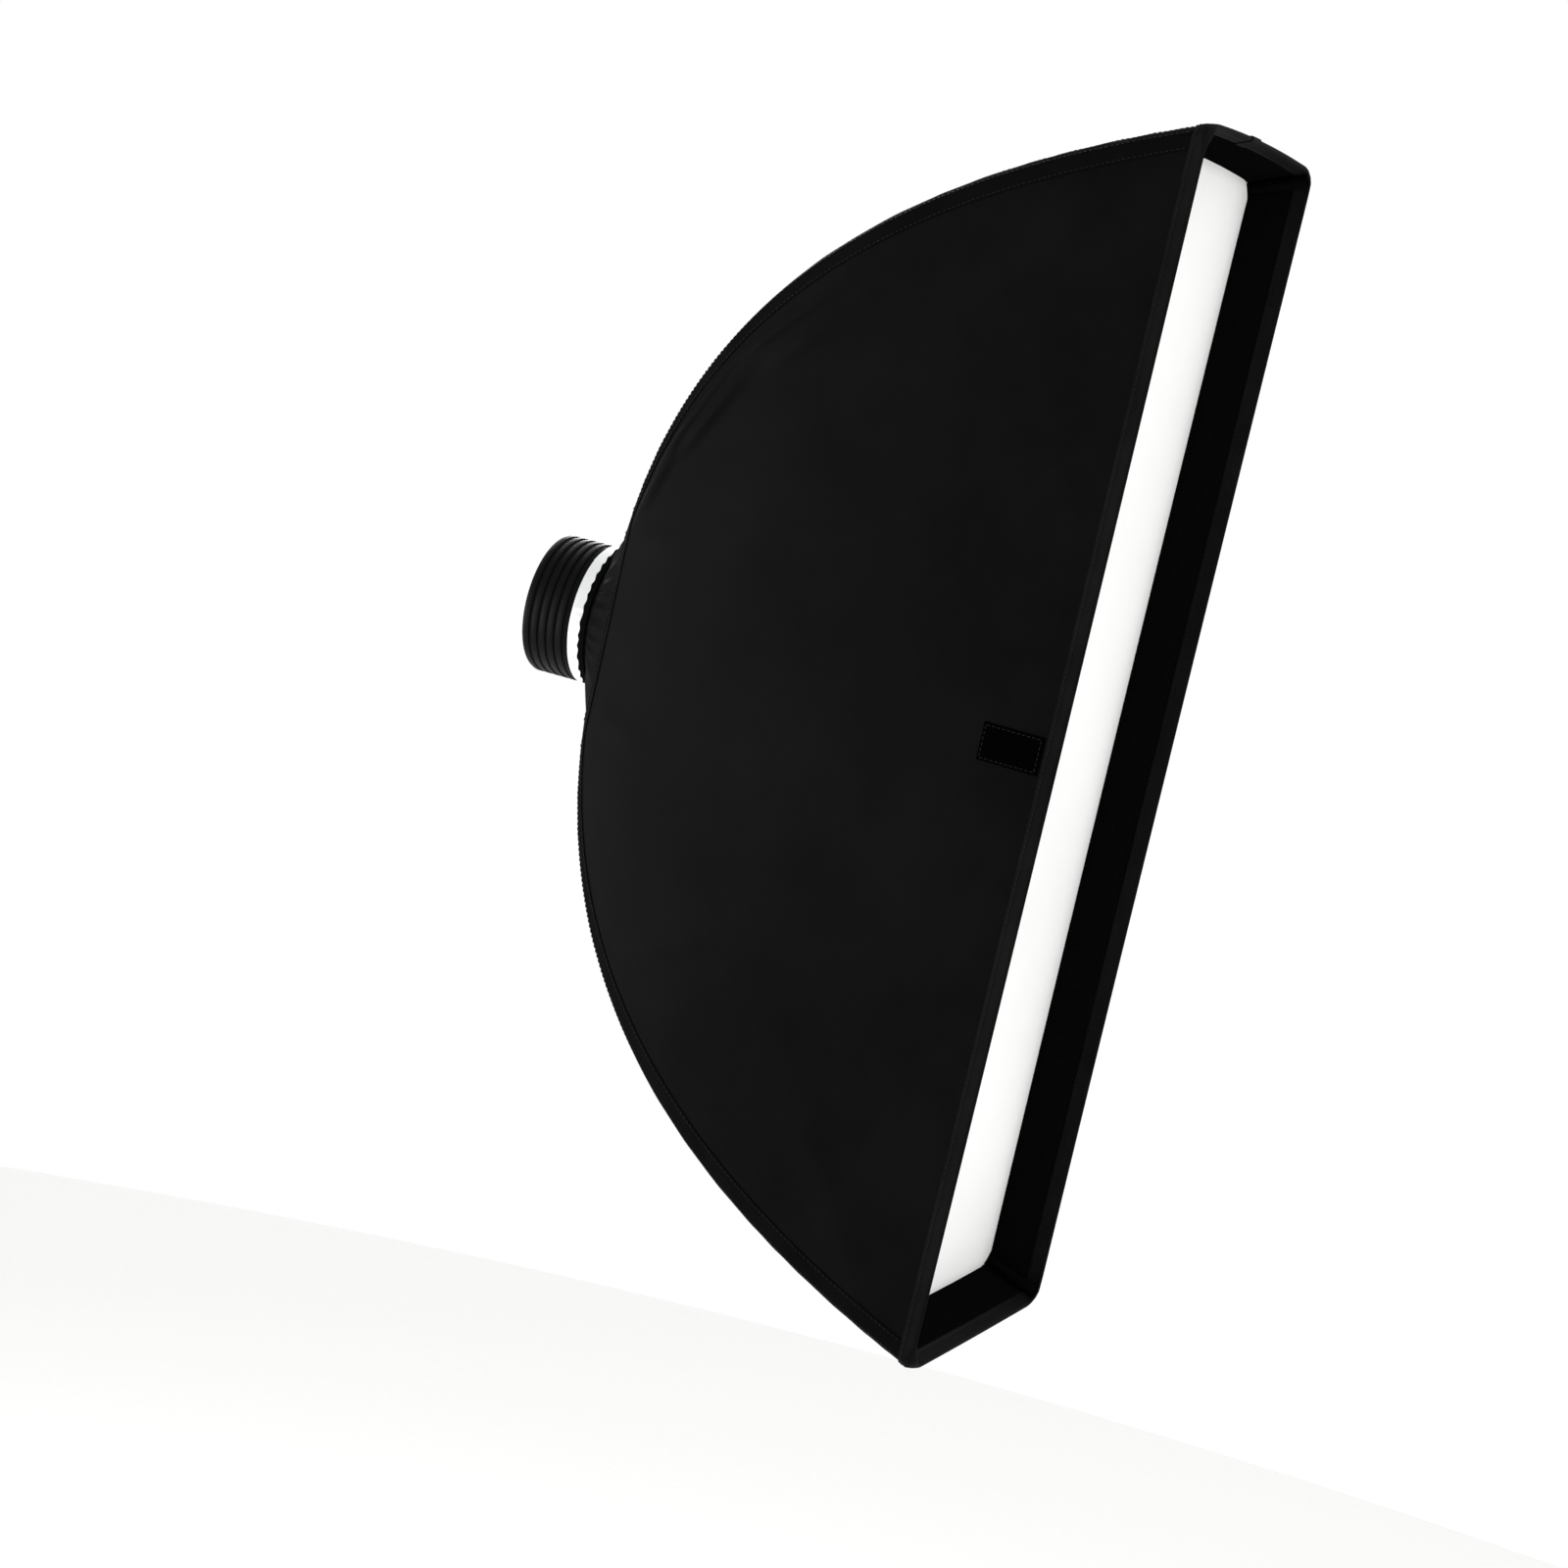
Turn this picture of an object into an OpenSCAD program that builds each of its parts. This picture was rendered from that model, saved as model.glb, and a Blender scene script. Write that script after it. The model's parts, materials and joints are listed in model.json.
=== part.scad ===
// Strip softbox: a tall, narrow fabric light box on four bent rods, carried by a speedring
// that turns on the collar clamped around a flash head.
// Frame: origin at the centre of the head bore, at the collar's rear mouth.
// +Y points backwards, the way the head leaves. Light leaves towards -Y. The long side is along Z.

/* [Front frame] */
// Outer width of the front frame
front_w = 305; // [250:5:380]
// Outer height of the front frame
front_h = 915; // [750:5:1200]
// Depth of the recess in front of the front diffuser
recess = 44; // [30:1:60]
// Distance from the front edge back to the place where the rods leave their sockets
shell_depth = 400; // [340:5:480]

/* [Rods] */
// Diameter of each rod
rod_d = 6; // [5:0.5:7]
// Half width of the shell where the rods leave their sockets
root_x = 68; // [66:1:80]
// Half height of the shell where the rods leave their sockets
root_z = 72; // [70:1:90]
// Slope of a rod as it leaves its socket, in degrees from the ring's plane
root_angle = 8.9; // [6:0.1:14]
// Slope of a rod at the front corner, in degrees from the ring's plane
tip_angle = 70.9; // [66:0.1:76]
// How far the rod keeps its first direction before the bend takes over
root_pull = 227; // [180:1:250]
// How far the rod's last direction reaches back from the corner
tip_pull = 200; // [160:1:230]

/* [Fabric] */
// Thickness of the outer shell cloth
panel_t = 1.0; // [0.8:0.1:1.4]
// Thickness of the silver lining
lining_t = 0.8; // [0.6:0.1:1]
// Thickness of hook tape, loop tape and edge binding
tape_t = 0.8; // [0.6:0.1:1]
// Gap between one layer of cloth and the next
layer_gap = 0.2; // [0.1:0.05:0.3]
// Gap between the cloth of parts that move apart
part_gap = 0.4; // [0.3:0.05:0.6]
// Width of the hook tape behind the front diffuser's edge
hook_w = 20; // [15:1:25]
// Width of the edge binding around the front
binding_w = 12; // [8:1:16]

/* [Diffusers] */
// Thickness of each diffuser cloth
diffuser_t = 1.0; // [0.8:0.1:1.5]
// Distance from the front edge back to the inner baffle
baffle_y = 215; // [150:5:260]
// Free space between the baffle's edge and the shell
baffle_margin = 18; // [16:1:30]
// Width of the baffle's edge webbing
baffle_hem_w = 15; // [10:1:20]
// Width of each elastic tab that holds the baffle
tab_w = 20; // [15:1:25]

/* [Speedring] */
// Length of the hub, from the rods' roots back to the collar's rear mouth
hub_len = 77; // [75:1:85]
// Outer radius of the neck on which the softbox turns
neck_r = 55.5; // [55.2:0.1:56]
// Outer radius of the speedring's disc
disc_r = 66; // [64:1:66]
// Thickness of the speedring's disc and arms
disc_t = 5.5; // [5:0.1:6]
// Width of each arm that holds a rod socket
arm_w = 16; // [15:1:18]
// Length of each rod socket
socket_len = 24; // [22:1:26]
// Wall of each rod socket
socket_wall = 2.1; // [1.5:0.1:2.1]
// Radius of the socket screws' shanks
screw_r = 1.95; // [1.5:0.05:2]

/* [Collar] */
// Radius of the flash head that the collar clamps
head_r = 50; // [50:0.1:50]
// Thickness of the rubber grip liner
liner_t = 1; // [0.8:0.1:1]
// Length of the liner
liner_len = 35; // [32:1:35]
// Length of the clamping part of the collar
collar_len = 40; // [38:1:42]
// Wall of the collar between its ribs
collar_wall = 3; // [2.8:0.1:3.4]
// Height of the collar's ribs
rib_h = 1; // [0.6:0.1:1.2]
// Number of ribs around the collar
rib_count = 5; // [3:1:6]
// Outer radius of the journal that the speedring turns on
journal_r = 52.5; // [52.4:0.1:52.6]
// Radial running clearance of the speedring on its journal
run_gap = 0.08; // [0.05:0.01:0.1]
// Width of the clamping slit
slit_w = 3; // [2:0.5:4]

/* [Latch] */
// Distance of the latch's pins from the collar's axis
latch_x = 60; // [60:0.5:61]
// Place of the lever's pin below the slit
lever_z = 10; // [10:0.5:11]
// Place of the bail's bar above the slit
keeper_z = 12; // [12:0.5:13]
// Distance from the lever's pin to the bail's pivot
crank = 7; // [6.5:0.5:7.5]
// Radius of the bail's wire
wire_r = 1.5; // [1.2:0.1:1.6]
// Length of the lever beyond its pin
lever_len = 32; // [26:1:36]

/* [Ring lock] */
// Angle of the lock knob around the ring, below the latch side
lock_angle = 30; // [20:5:60]
// Radius of the lock knob
knob_r = 9; // [7:0.5:9]
// Height of the lock knob
knob_h = 14; // [10:1:16]
// Radius of the lock screw
lock_r = 2.92; // [2.5:0.02:2.92]

/* [Hidden] */

round_fn = 96;
pin_fn = 48;
curve_steps = 14;
rod_steps = 20;
rod_sides = 12;
eps = 0.01;

front_y = -(shell_depth + hub_len);
diffuser_y = front_y + recess;
baffle_row_y = front_y + baffle_y;
rod_r = rod_d / 2;
// Radial gap of pieces that are fixed in one another, and of a pin that turns in its hole
fit_gap = 0.1;
turn_gap = 0.06;
// Radial gap of a rod in its socket, and its gap to the socket's floor
bore_gap = 0.1;
floor_gap = 0.3;

// The rod's tip cap, the pocket that takes it and the sleeve that the rod runs in
tip_wall = 1;
tip_gap = 0.3;
pocket_wall = 1;
tip_r = rod_r + tip_wall;
pocket_r = tip_r + tip_gap + pocket_wall;
sleeve_gap = 0.4;
sleeve_wall = 0.8;
sleeve_r = rod_r + sleeve_gap + sleeve_wall;
tip_back = 12;
tip_over = 2;
pocket_back = 24;
pocket_over = 4;
rod_end = 0.98;
sleeve_start = 2;
sleeve_stop = rod_steps - 2;

// Depth of a rod's centre below the outer cloth, and what the corner hardware takes up
pocket_gap = 0.1;
rod_depth = panel_t + layer_gap + pocket_gap + pocket_r;
corner_clear = rod_depth + pocket_r + part_gap;

// Layers, as depths below the outer face of the shell cloth
lining_top = panel_t + layer_gap;
lining_bottom = lining_top + lining_t;
tape_top = lining_top;
tape_bottom = tape_top + tape_t;
hook_top = tape_bottom + part_gap;
hook_bottom = hook_top + tape_t;
// Gap along the shell between one cloth's edge and the next cloth, and the loop tape's two ends
end_gap = 1;
tape_start_y = binding_w + end_gap;
tape_end_y = recess + diffuser_t + hook_w + end_gap;

// Speedring, in order from the collar's shoulder forwards
axial_gap = 0.3;
edge_chamfer = 0.5;
disc_setback = 2.5;
head_gap = 0.3;
journal_over = 5;
neck_back = -collar_len - axial_gap;
disc_back = -hub_len - disc_setback;
disc_front = disc_back - disc_t;
neck_bore = journal_r + run_gap;
journal_bore = head_r + head_gap;
journal_front = disc_front - journal_over;
groove_back = disc_front - axial_gap;
ring_t = 2;
groove_gap = 0.1;
groove_depth = 1;
groove_r = journal_r - groove_depth;
retain_over = 3.5;
retain_r = journal_r + retain_over;

// Skirt and its strap
hem_gap = 0.5;
hem_in = neck_r + hem_gap;
hem_out = hem_in + panel_t;
hem_setback = 11;
hem_w = 6;
hem_back = neck_back - hem_setback;
hem_front = hem_back - hem_w;
skirt_sides = 48;
skirt_steps = 5;
// Share of the skirt's thickness by which its inner face lies further forwards on the slope
skirt_lean = 0.3;

// The seam between a side panel and an end panel: a curve in the plane from the root to the corner.
// Its points are [distance along the plane, distance behind the front edge].
span_x = front_w / 2 - root_x;
span_z = front_h / 2 - root_z;
span = norm([span_x, span_z]);
dir_x = span_x / span;
dir_z = span_z / span;
c0 = [0, shell_depth];
c1 = c0 + root_pull * [cos(root_angle), -sin(root_angle)];
c3 = [span, 0];
c2 = c3 - tip_pull * [cos(tip_angle), -sin(tip_angle)];

function seam(t) = pow(1 - t, 3) * c0 + 3 * pow(1 - t, 2) * t * c1
    + 3 * (1 - t) * t * t * c2 + pow(t, 3) * c3;
function seam_dir(t) = 3 * pow(1 - t, 2) * (c1 - c0) + 6 * (1 - t) * t * (c2 - c1)
    + 3 * t * t * (c3 - c2);
function unit(v) = v / norm(v);

// One wall's profile: root is its half size at the rods' roots, k its share of the seam's direction.
// Each point lies a depth d below the outer face, and the last one lies in the front plane.
function wall_normal(t, k) = unit([-seam_dir(t)[1], k * seam_dir(t)[0]]);
function wall_raw(t, root, k, d) =
    [root + k * seam(t)[0], front_y + seam(t)[1]] - d * wall_normal(t, k);
function wall_tangent(t, k) = unit([k * seam_dir(t)[0], seam_dir(t)[1]]);
function to_front(p, v) = p + v * ((front_y - p[1]) / v[1]);
function wall_point(t, root, k, d) =
    t < 1 ? wall_raw(t, root, k, d) : to_front(wall_raw(1, root, k, d), wall_tangent(1, k));
function wall(root, k, d) = [for (i = [0:curve_steps]) wall_point(i / curve_steps, root, k, d)];
function back_to_front(list) = [for (i = [len(list) - 1:-1:0]) list[i]];
function swapped(list) = [for (p = list) [p[1], p[0]]];
function mirrored(list) = [for (p = list) [-p[0], p[1]]];
function ring_of(root, k, d) = concat(wall(root, k, d), back_to_front(mirrored(wall(root, k, d))));
function band_of(root, k, d0, d1) = concat(wall(root, k, d0), back_to_front(wall(root, k, d1)));

// Solid that fills the shell between its two side walls, a depth d below their outer faces
module inside_sides(d) {
    linear_extrude(height = front_h + 60, center = true)
        polygon(ring_of(root_x, dir_x, d));
}

// The same between its two end walls
module inside_ends(d) {
    rotate([90, 0, 90])
        linear_extrude(height = front_w + 60, center = true)
            polygon(swapped(ring_of(root_z, dir_z, d)));
}

// Right-hand side wall between two depths, before its ends are cut
module side_band(d0, d1) {
    linear_extrude(height = front_h + 60, center = true)
        polygon(band_of(root_x, dir_x, d0, d1));
}

// Top wall between two depths, before its sides are cut
module end_band(d0, d1) {
    rotate([90, 0, 90])
        linear_extrude(height = front_w + 60, center = true)
            polygon(swapped(band_of(root_z, dir_z, d0, d1)));
}

// Slab across the whole model between two distances behind the front edge
module between_y(y0, y1) {
    translate([-front_w, front_y + y0, -front_h])
        cube([2 * front_w, y1 - y0, 2 * front_h]);
}

// Draws its child on the left (-1) or right (1) and the bottom (-1) or top (1)
module placed(sx, sz) {
    mirror([sx < 0 ? 1 : 0, 0, 0])
        mirror([0, 0, sz < 0 ? 1 : 0])
            children();
}

// --- Rods ---------------------------------------------------------------

// Centre of the upper right rod: a depth below both walls at once
function rod_point(t) =
    let (a = wall_normal(t, dir_x), b = wall_normal(t, dir_z),
         share = rod_depth / (1 + a[1] * b[1]), s = seam(t))
    [root_x + dir_x * s[0] - share * a[0],
     front_y + s[1] - share * (a[1] + b[1]),
     root_z + dir_z * s[0] - share * b[0]];

socket_dir = [-dir_x * cos(root_angle), sin(root_angle), -dir_z * cos(root_angle)];
socket_mouth = 1;
socket_floor = 3;
rod_bottom = rod_point(0) + (socket_mouth + socket_len - socket_floor - floor_gap) * socket_dir;
rod_line = [for (i = [0:rod_steps]) rod_point(rod_end * i / rod_steps)];
rod_path = concat([rod_bottom], rod_line);
rod_side = unit([dir_z, 0, -dir_x]);
tip_point = rod_line[rod_steps];
tip_dir = unit(tip_point - rod_line[rod_steps - 1]);

function path_dir(path, i) =
    unit(path[min(i + 1, len(path) - 1)] - path[max(i - 1, 0)]);
function circle_at(path, i, r) =
    let (d = path_dir(path, i), b = unit(rod_side - (rod_side * d) * d), w = cross(d, b))
    [for (j = [0:rod_sides - 1])
        let (a = 360 * j / rod_sides) path[i] + r * (cos(a) * b + sin(a) * w)];
function tube_points(path, r) =
    [for (i = [0:len(path) - 1]) each circle_at(path, i, r)];
function tube_sides(rings, first, flip) =
    [for (i = [0:rings - 2], j = [0:rod_sides - 1])
        let (n = rod_sides, k = (j + 1) % n, a = first + i * n,
             q = [a + j, a + k, a + n + k, a + n + j])
        flip ? [q[3], q[2], q[1], q[0]] : q];
function tube_rim(outer, inner, flip) =
    [for (j = [0:rod_sides - 1])
        let (k = (j + 1) % rod_sides, q = [outer + j, inner + j, inner + k, outer + k])
        flip ? [q[3], q[2], q[1], q[0]] : q];

// Round bar along a path
module bar(path, r) {
    rings = len(path);
    last = (rings - 1) * rod_sides;
    polyhedron(
        points = tube_points(path, r),
        faces = concat(
            [[for (j = [rod_sides - 1:-1:0]) j]],
            tube_sides(rings, 0, false),
            [[for (j = [0:rod_sides - 1]) last + j]]),
        convexity = 6);
}

// Open tube along a path
module tube(path, r_in, r_out) {
    rings = len(path);
    count = rings * rod_sides;
    last = (rings - 1) * rod_sides;
    polyhedron(
        points = concat(tube_points(path, r_out), tube_points(path, r_in)),
        faces = concat(
            tube_sides(rings, 0, false),
            tube_sides(rings, count, true),
            tube_rim(0, count, false),
            tube_rim(last, count + last, true)),
        convexity = 8);
}

// Draws its child with +Z turned to point along d
module aimed(p, d) {
    translate(p)
        rotate([0, acos(d[2] / norm(d)), atan2(d[1], d[0])])
            children();
}

module rod(sx, sz) {
    color("#23252a")
        placed(sx, sz)
            bar(rod_path, rod_r);
}

module rod_tips() {
    color("#1b1b1d")
        for (sx = [-1, 1], sz = [-1, 1])
            placed(sx, sz)
                aimed(tip_point, tip_dir)
                    difference() {
                        translate([0, 0, -tip_back])
                            cylinder(h = tip_back + tip_over, r = tip_r, $fn = pin_fn);
                        translate([0, 0, -tip_back - 1])
                            cylinder(h = tip_back + 1 + fit_gap, r = rod_r + fit_gap, $fn = pin_fn);
                    }
}

module sleeve(sx, sz) {
    path = [for (i = [sleeve_start:sleeve_stop]) rod_line[i]];
    color("#17181a")
        placed(sx, sz)
            tube(path, rod_r + sleeve_gap, sleeve_r);
}

module pocket(sx, sz) {
    color("#141416")
        placed(sx, sz)
            aimed(tip_point, tip_dir)
                difference() {
                    translate([0, 0, -pocket_back])
                        cylinder(h = pocket_back + pocket_over, r = pocket_r, $fn = pin_fn);
                    translate([0, 0, -pocket_back - 1])
                        cylinder(h = pocket_back + 1 + tip_over + tip_gap, r = tip_r + tip_gap,
                                 $fn = pin_fn);
                }
}

// --- Shell --------------------------------------------------------------

module side_panel(sx) {
    color("#2b2c2f")
        placed(sx, 1)
            intersection() {
                side_band(0, panel_t);
                inside_ends(0);
                between_y(binding_back, shell_depth + 1);
            }
}

module end_panel(sz) {
    color("#2b2c2f")
        placed(1, sz)
            intersection() {
                end_band(0, panel_t);
                inside_sides(panel_t + layer_gap / 2);
                between_y(binding_back, shell_depth + 1);
            }
}

module side_lining(sx) {
    color("#d5d8dc")
        placed(sx, 1)
            intersection() {
                side_band(lining_top, lining_bottom);
                inside_ends(corner_clear);
                between_y(tape_end_y + end_gap, shell_depth + 1);
            }
}

module end_lining(sz) {
    color("#d5d8dc")
        placed(1, sz)
            intersection() {
                end_band(lining_top, lining_bottom);
                inside_sides(corner_clear);
                between_y(tape_end_y + end_gap, shell_depth + 1);
            }
}

// Black loop tape on the inner faces of the lip
module loop_tape() {
    color("#050505")
        intersection() {
            union() {
                for (s = [-1, 1]) {
                    placed(s, 1)
                        intersection() {
                            side_band(tape_top, tape_bottom);
                            inside_ends(corner_clear);
                        }
                    placed(1, s)
                        intersection() {
                            end_band(tape_top, tape_bottom);
                            inside_sides(corner_clear);
                        }
                }
            }
            between_y(tape_start_y, tape_end_y);
        }
}

// Folded binding over the front edge, one strip on each side
binding_back = 1.2;
binding_top = -layer_gap - tape_t;
binding_bottom = panel_t + layer_gap + tape_t;
module front_binding() {
    color("#1c1c1e")
        for (s = [-1, 1]) {
            placed(s, 1)
                binding_cut()
                    intersection() {
                        side_band(binding_top, binding_bottom);
                        inside_ends(binding_top);
                    }
            placed(1, s)
                binding_cut()
                    intersection() {
                        end_band(binding_top, binding_bottom);
                        inside_sides(binding_bottom + layer_gap);
                    }
        }
}

// Keeps the front strip of its child and clears the groove that the shell cloth lies in
module binding_cut() {
    difference() {
        intersection() {
            children();
            between_y(0, binding_w);
        }
        difference() {
            intersection() {
                inside_sides(-layer_gap);
                inside_ends(-layer_gap);
                between_y(binding_back - layer_gap, binding_w + 1);
            }
            intersection() {
                inside_sides(panel_t + layer_gap);
                inside_ends(panel_t + layer_gap);
            }
        }
        // Room in each corner for the rod's pocket
        difference() {
            intersection() {
                inside_sides(panel_t);
                inside_ends(panel_t);
                between_y(binding_back - layer_gap, binding_w + 1);
            }
            inside_sides(corner_clear);
            inside_ends(corner_clear);
        }
    }
}

// Hook-and-loop patch on the outside of each side panel, at mid-height
patch_y0 = 14;
patch_len = 48;
patch_h = 28;
module side_patches() {
    color("#0a0a0b")
        for (s = [-1, 1])
            placed(s, 1)
                intersection() {
                    side_band(-layer_gap / 2 - tape_t, -layer_gap / 2);
                    translate([0, front_y + patch_y0, -patch_h / 2])
                        cube([front_w, patch_len, patch_h]);
                }
}

// Radius of the skirt's outer face at an angle, a share w of the way from the root's outline to the hem
function root_radius(a) =
    min(root_x / max(abs(cos(a)), eps), root_z / max(abs(sin(a)), eps));
function skirt_radius(a, w) = root_radius(a) * (1 - w) + hem_out * w;
skirt_front = -hub_len + layer_gap;
function skirt_share(i) = min(i / (skirt_steps - 1), 1);
function skirt_y(i) = i < skirt_steps
    ? skirt_front + (hem_front - skirt_front) * i / (skirt_steps - 1)
    : hem_back;

// Angles around the skirt, with one on each corner of the root's outline
quarter = skirt_sides / 4;
corner_angle = atan2(root_z, root_x);
function quarter_angle(j) = j < quarter / 2
    ? corner_angle * 2 * j / quarter
    : corner_angle + (90 - corner_angle) * (2 * j / quarter - 1);
function skirt_angle(j) =
    let (q = floor(j / quarter), k = j - q * quarter)
    q == 0 ? quarter_angle(k)
        : q == 1 ? 180 - quarter_angle(quarter - k)
        : q == 2 ? 180 + quarter_angle(k)
        : 360 - quarter_angle(quarter - k);
function skirt_ring(i, inward) =
    [for (j = [0:skirt_sides - 1])
        let (a = skirt_angle(j), r = skirt_radius(a, skirt_share(i)) - inward)
        [r * cos(a), skirt_y(i) - (i == 0 || i == skirt_steps ? 0 : inward * skirt_lean), r * sin(a)]];

module rear_skirt() {
    n = skirt_sides;
    rings = skirt_steps + 1;
    count = n * rings;
    color("#232427")
        polyhedron(
            points = concat(
                [for (i = [0:rings - 1]) each skirt_ring(i, 0)],
                [for (i = [0:rings - 1]) each skirt_ring(i, panel_t)]),
            faces = concat(
                [for (i = [0:rings - 2], j = [0:n - 1]) let (k = (j + 1) % n)
                    [i * n + j, i * n + k, (i + 1) * n + k, (i + 1) * n + j]],
                [for (i = [0:rings - 2], j = [0:n - 1]) let (k = (j + 1) % n)
                    [count + (i + 1) * n + j, count + (i + 1) * n + k, count + i * n + k, count + i * n + j]],
                [for (j = [0:n - 1]) let (k = (j + 1) % n) [k, j, count + j, count + k]],
                [for (j = [0:n - 1]) let (k = (j + 1) % n, a = (rings - 1) * n)
                    [a + j, a + k, count + a + k, count + a + j]]),
            convexity = 6);
}

// Ring around the Y axis between two radii and two places along it, with its outer edges
// chamfered by c at the front and b at the back
module ring_y(y0, y1, r_in, r_out, c = 0, b = 0) {
    rotate([90, 0, 0])
        rotate_extrude($fn = round_fn)
            polygon(concat(
                [[r_in, -y1]],
                b > 0 ? [[r_out - b, -y1], [r_out, -y1 + b]] : [[r_out, -y1]],
                c > 0 ? [[r_out, -y0 - c], [r_out - c, -y0]] : [[r_out, -y0]],
                [[r_in, -y0]]));
}

// Solid round bar along the Y axis
module bar_y(y0, y1, r) {
    translate([0, y1, 0])
        rotate([90, 0, 0])
            cylinder(h = y1 - y0, r = r, $fn = round_fn);
}

strap_t = 1.4;
strap_gap = 0.3;
strap_split = 6;
strap_front = hem_front + 1;
strap_back = hem_back - 0.5;
module closure_strap() {
    color("#0e0e0f")
        difference() {
            ring_y(strap_front, strap_back, hem_out + strap_gap, hem_out + strap_gap + strap_t);
            translate([0, hem_front - 1, -strap_split / 2])
                cube([2 * hem_out, hem_back - hem_front + 2, strap_split]);
        }
}

// --- Diffusers ----------------------------------------------------------

// Half sizes of the inside of the shell a distance y behind the front edge, a depth d below the cloth
function wall_at(y, root, k, d, lo = 0, hi = 1, n = 24) =
    let (mid = (lo + hi) / 2, p = wall_raw(mid, root, k, d))
    n == 0 ? p[0]
        : p[1] > front_y + y ? wall_at(y, root, k, d, mid, hi, n - 1)
        : wall_at(y, root, k, d, lo, mid, n - 1);

// Gap between the front diffuser's edge and the hook tape's outer face
edge_gap = 0.3;
diffuser_x = wall_at(recess + diffuser_t, root_x, dir_x, hook_top) - edge_gap;
diffuser_z = wall_at(recess + diffuser_t, root_z, dir_z, hook_top) - edge_gap;
notch = corner_clear;

module front_diffuser() {
    color("#f2f2f0")
        translate([0, diffuser_y + diffuser_t / 2, 0]) {
            cube([2 * diffuser_x, diffuser_t, 2 * (diffuser_z - notch)], center = true);
            cube([2 * (diffuser_x - notch), diffuser_t, 2 * diffuser_z], center = true);
        }
}

// Hook tape sewn to the diffuser's edge, standing back along the lip
module hook_border() {
    color("#d9d9d6")
        intersection() {
            union() {
                for (s = [-1, 1]) {
                    placed(s, 1)
                        intersection() {
                            side_band(hook_top, hook_bottom);
                            inside_ends(corner_clear + part_gap);
                        }
                    placed(1, s)
                        intersection() {
                            end_band(hook_top, hook_bottom);
                            inside_sides(corner_clear + part_gap);
                        }
                }
            }
            between_y(recess + diffuser_t, recess + diffuser_t + hook_w);
        }
}

baffle_x = wall_at(baffle_y, root_x, dir_x, 0) - baffle_margin;
baffle_z = wall_at(baffle_y, root_z, dir_z, 0) - baffle_margin;

module inner_baffle() {
    color("#f4f4f2")
        translate([0, baffle_row_y, 0])
            cube([2 * baffle_x, diffuser_t, 2 * baffle_z], center = true);
}

// Webbing on the front face of the baffle's edge
module baffle_hem() {
    color("#ececea")
        translate([0, baffle_row_y - diffuser_t / 2 - tape_t / 2, 0])
            difference() {
                cube([2 * baffle_x, tape_t, 2 * baffle_z], center = true);
                cube([2 * (baffle_x - baffle_hem_w), tape_t + 1, 2 * (baffle_z - baffle_hem_w)],
                     center = true);
            }
}

// Elastic tabs from the baffle's edge to the lining
tab_overlap = 12;
tab_spare = 30;
tab_rows = [-0.6, 0, 0.6];
module baffle_tabs() {
    reach = baffle_margin + tab_overlap + tab_spare;
    color("#111113")
        intersection() {
            translate([0, baffle_row_y + diffuser_t / 2 + tape_t / 2, 0])
                for (s = [-1, 1]) {
                    for (z = tab_rows)
                        translate([s * (baffle_x - tab_overlap + reach / 2), 0, z * baffle_z])
                            cube([reach, tape_t, tab_w], center = true);
                    translate([0, 0, s * (baffle_z - tab_overlap + reach / 2)])
                        cube([tab_w, tape_t, reach], center = true);
                }
            inside_sides(lining_bottom + layer_gap);
            inside_ends(lining_bottom + layer_gap);
        }
}

// --- Speedring ----------------------------------------------------------

arm_angle = atan2(dir_z, dir_x);
neck_to_arm = 4;
arm_start = neck_r + neck_to_arm;
// Gap between the arms' tips and the inside of the shell cloth
arm_gap = 1.5;
arm_root = [rod_point(0)[0], rod_point(0)[2]];
socket_r = rod_r + bore_gap + socket_wall;
tongue_len = 12;
tongue_in = 4;
tongue_w = 10;
tongue_t = 3;
screw_at = socket_mouth + socket_len + tongue_len / 2;
head_h = 2.5;
head_w = 3.5;
drive_r = 1.2;
drive_depth = 1.4;
boss_r = 5;
boss_h = 6;
boss_root = neck_bore + 0.8;
boss_top = neck_r + boss_h;
lock_setback = 5.2;
lock_y = neck_back - lock_setback;

// Draws its child along the arm: X inwards from the rod's root, Y backwards, Z across
module on_arm(sx, sz) {
    placed(sx, sz)
        translate([arm_root[0], 0, arm_root[1]])
            rotate([0, 180 - arm_angle, 0])
                children();
}

module socket_axis(r, u0, u1) {
    aimed(rod_point(0) + u0 * socket_dir, socket_dir)
        cylinder(h = u1 - u0, r = r, $fn = pin_fn);
}

// Draws its child along the lock's radial axis, +Z outwards
module on_lock() {
    translate([0, lock_y, 0])
        rotate([0, 90 + lock_angle, 0])
            children();
}

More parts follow.
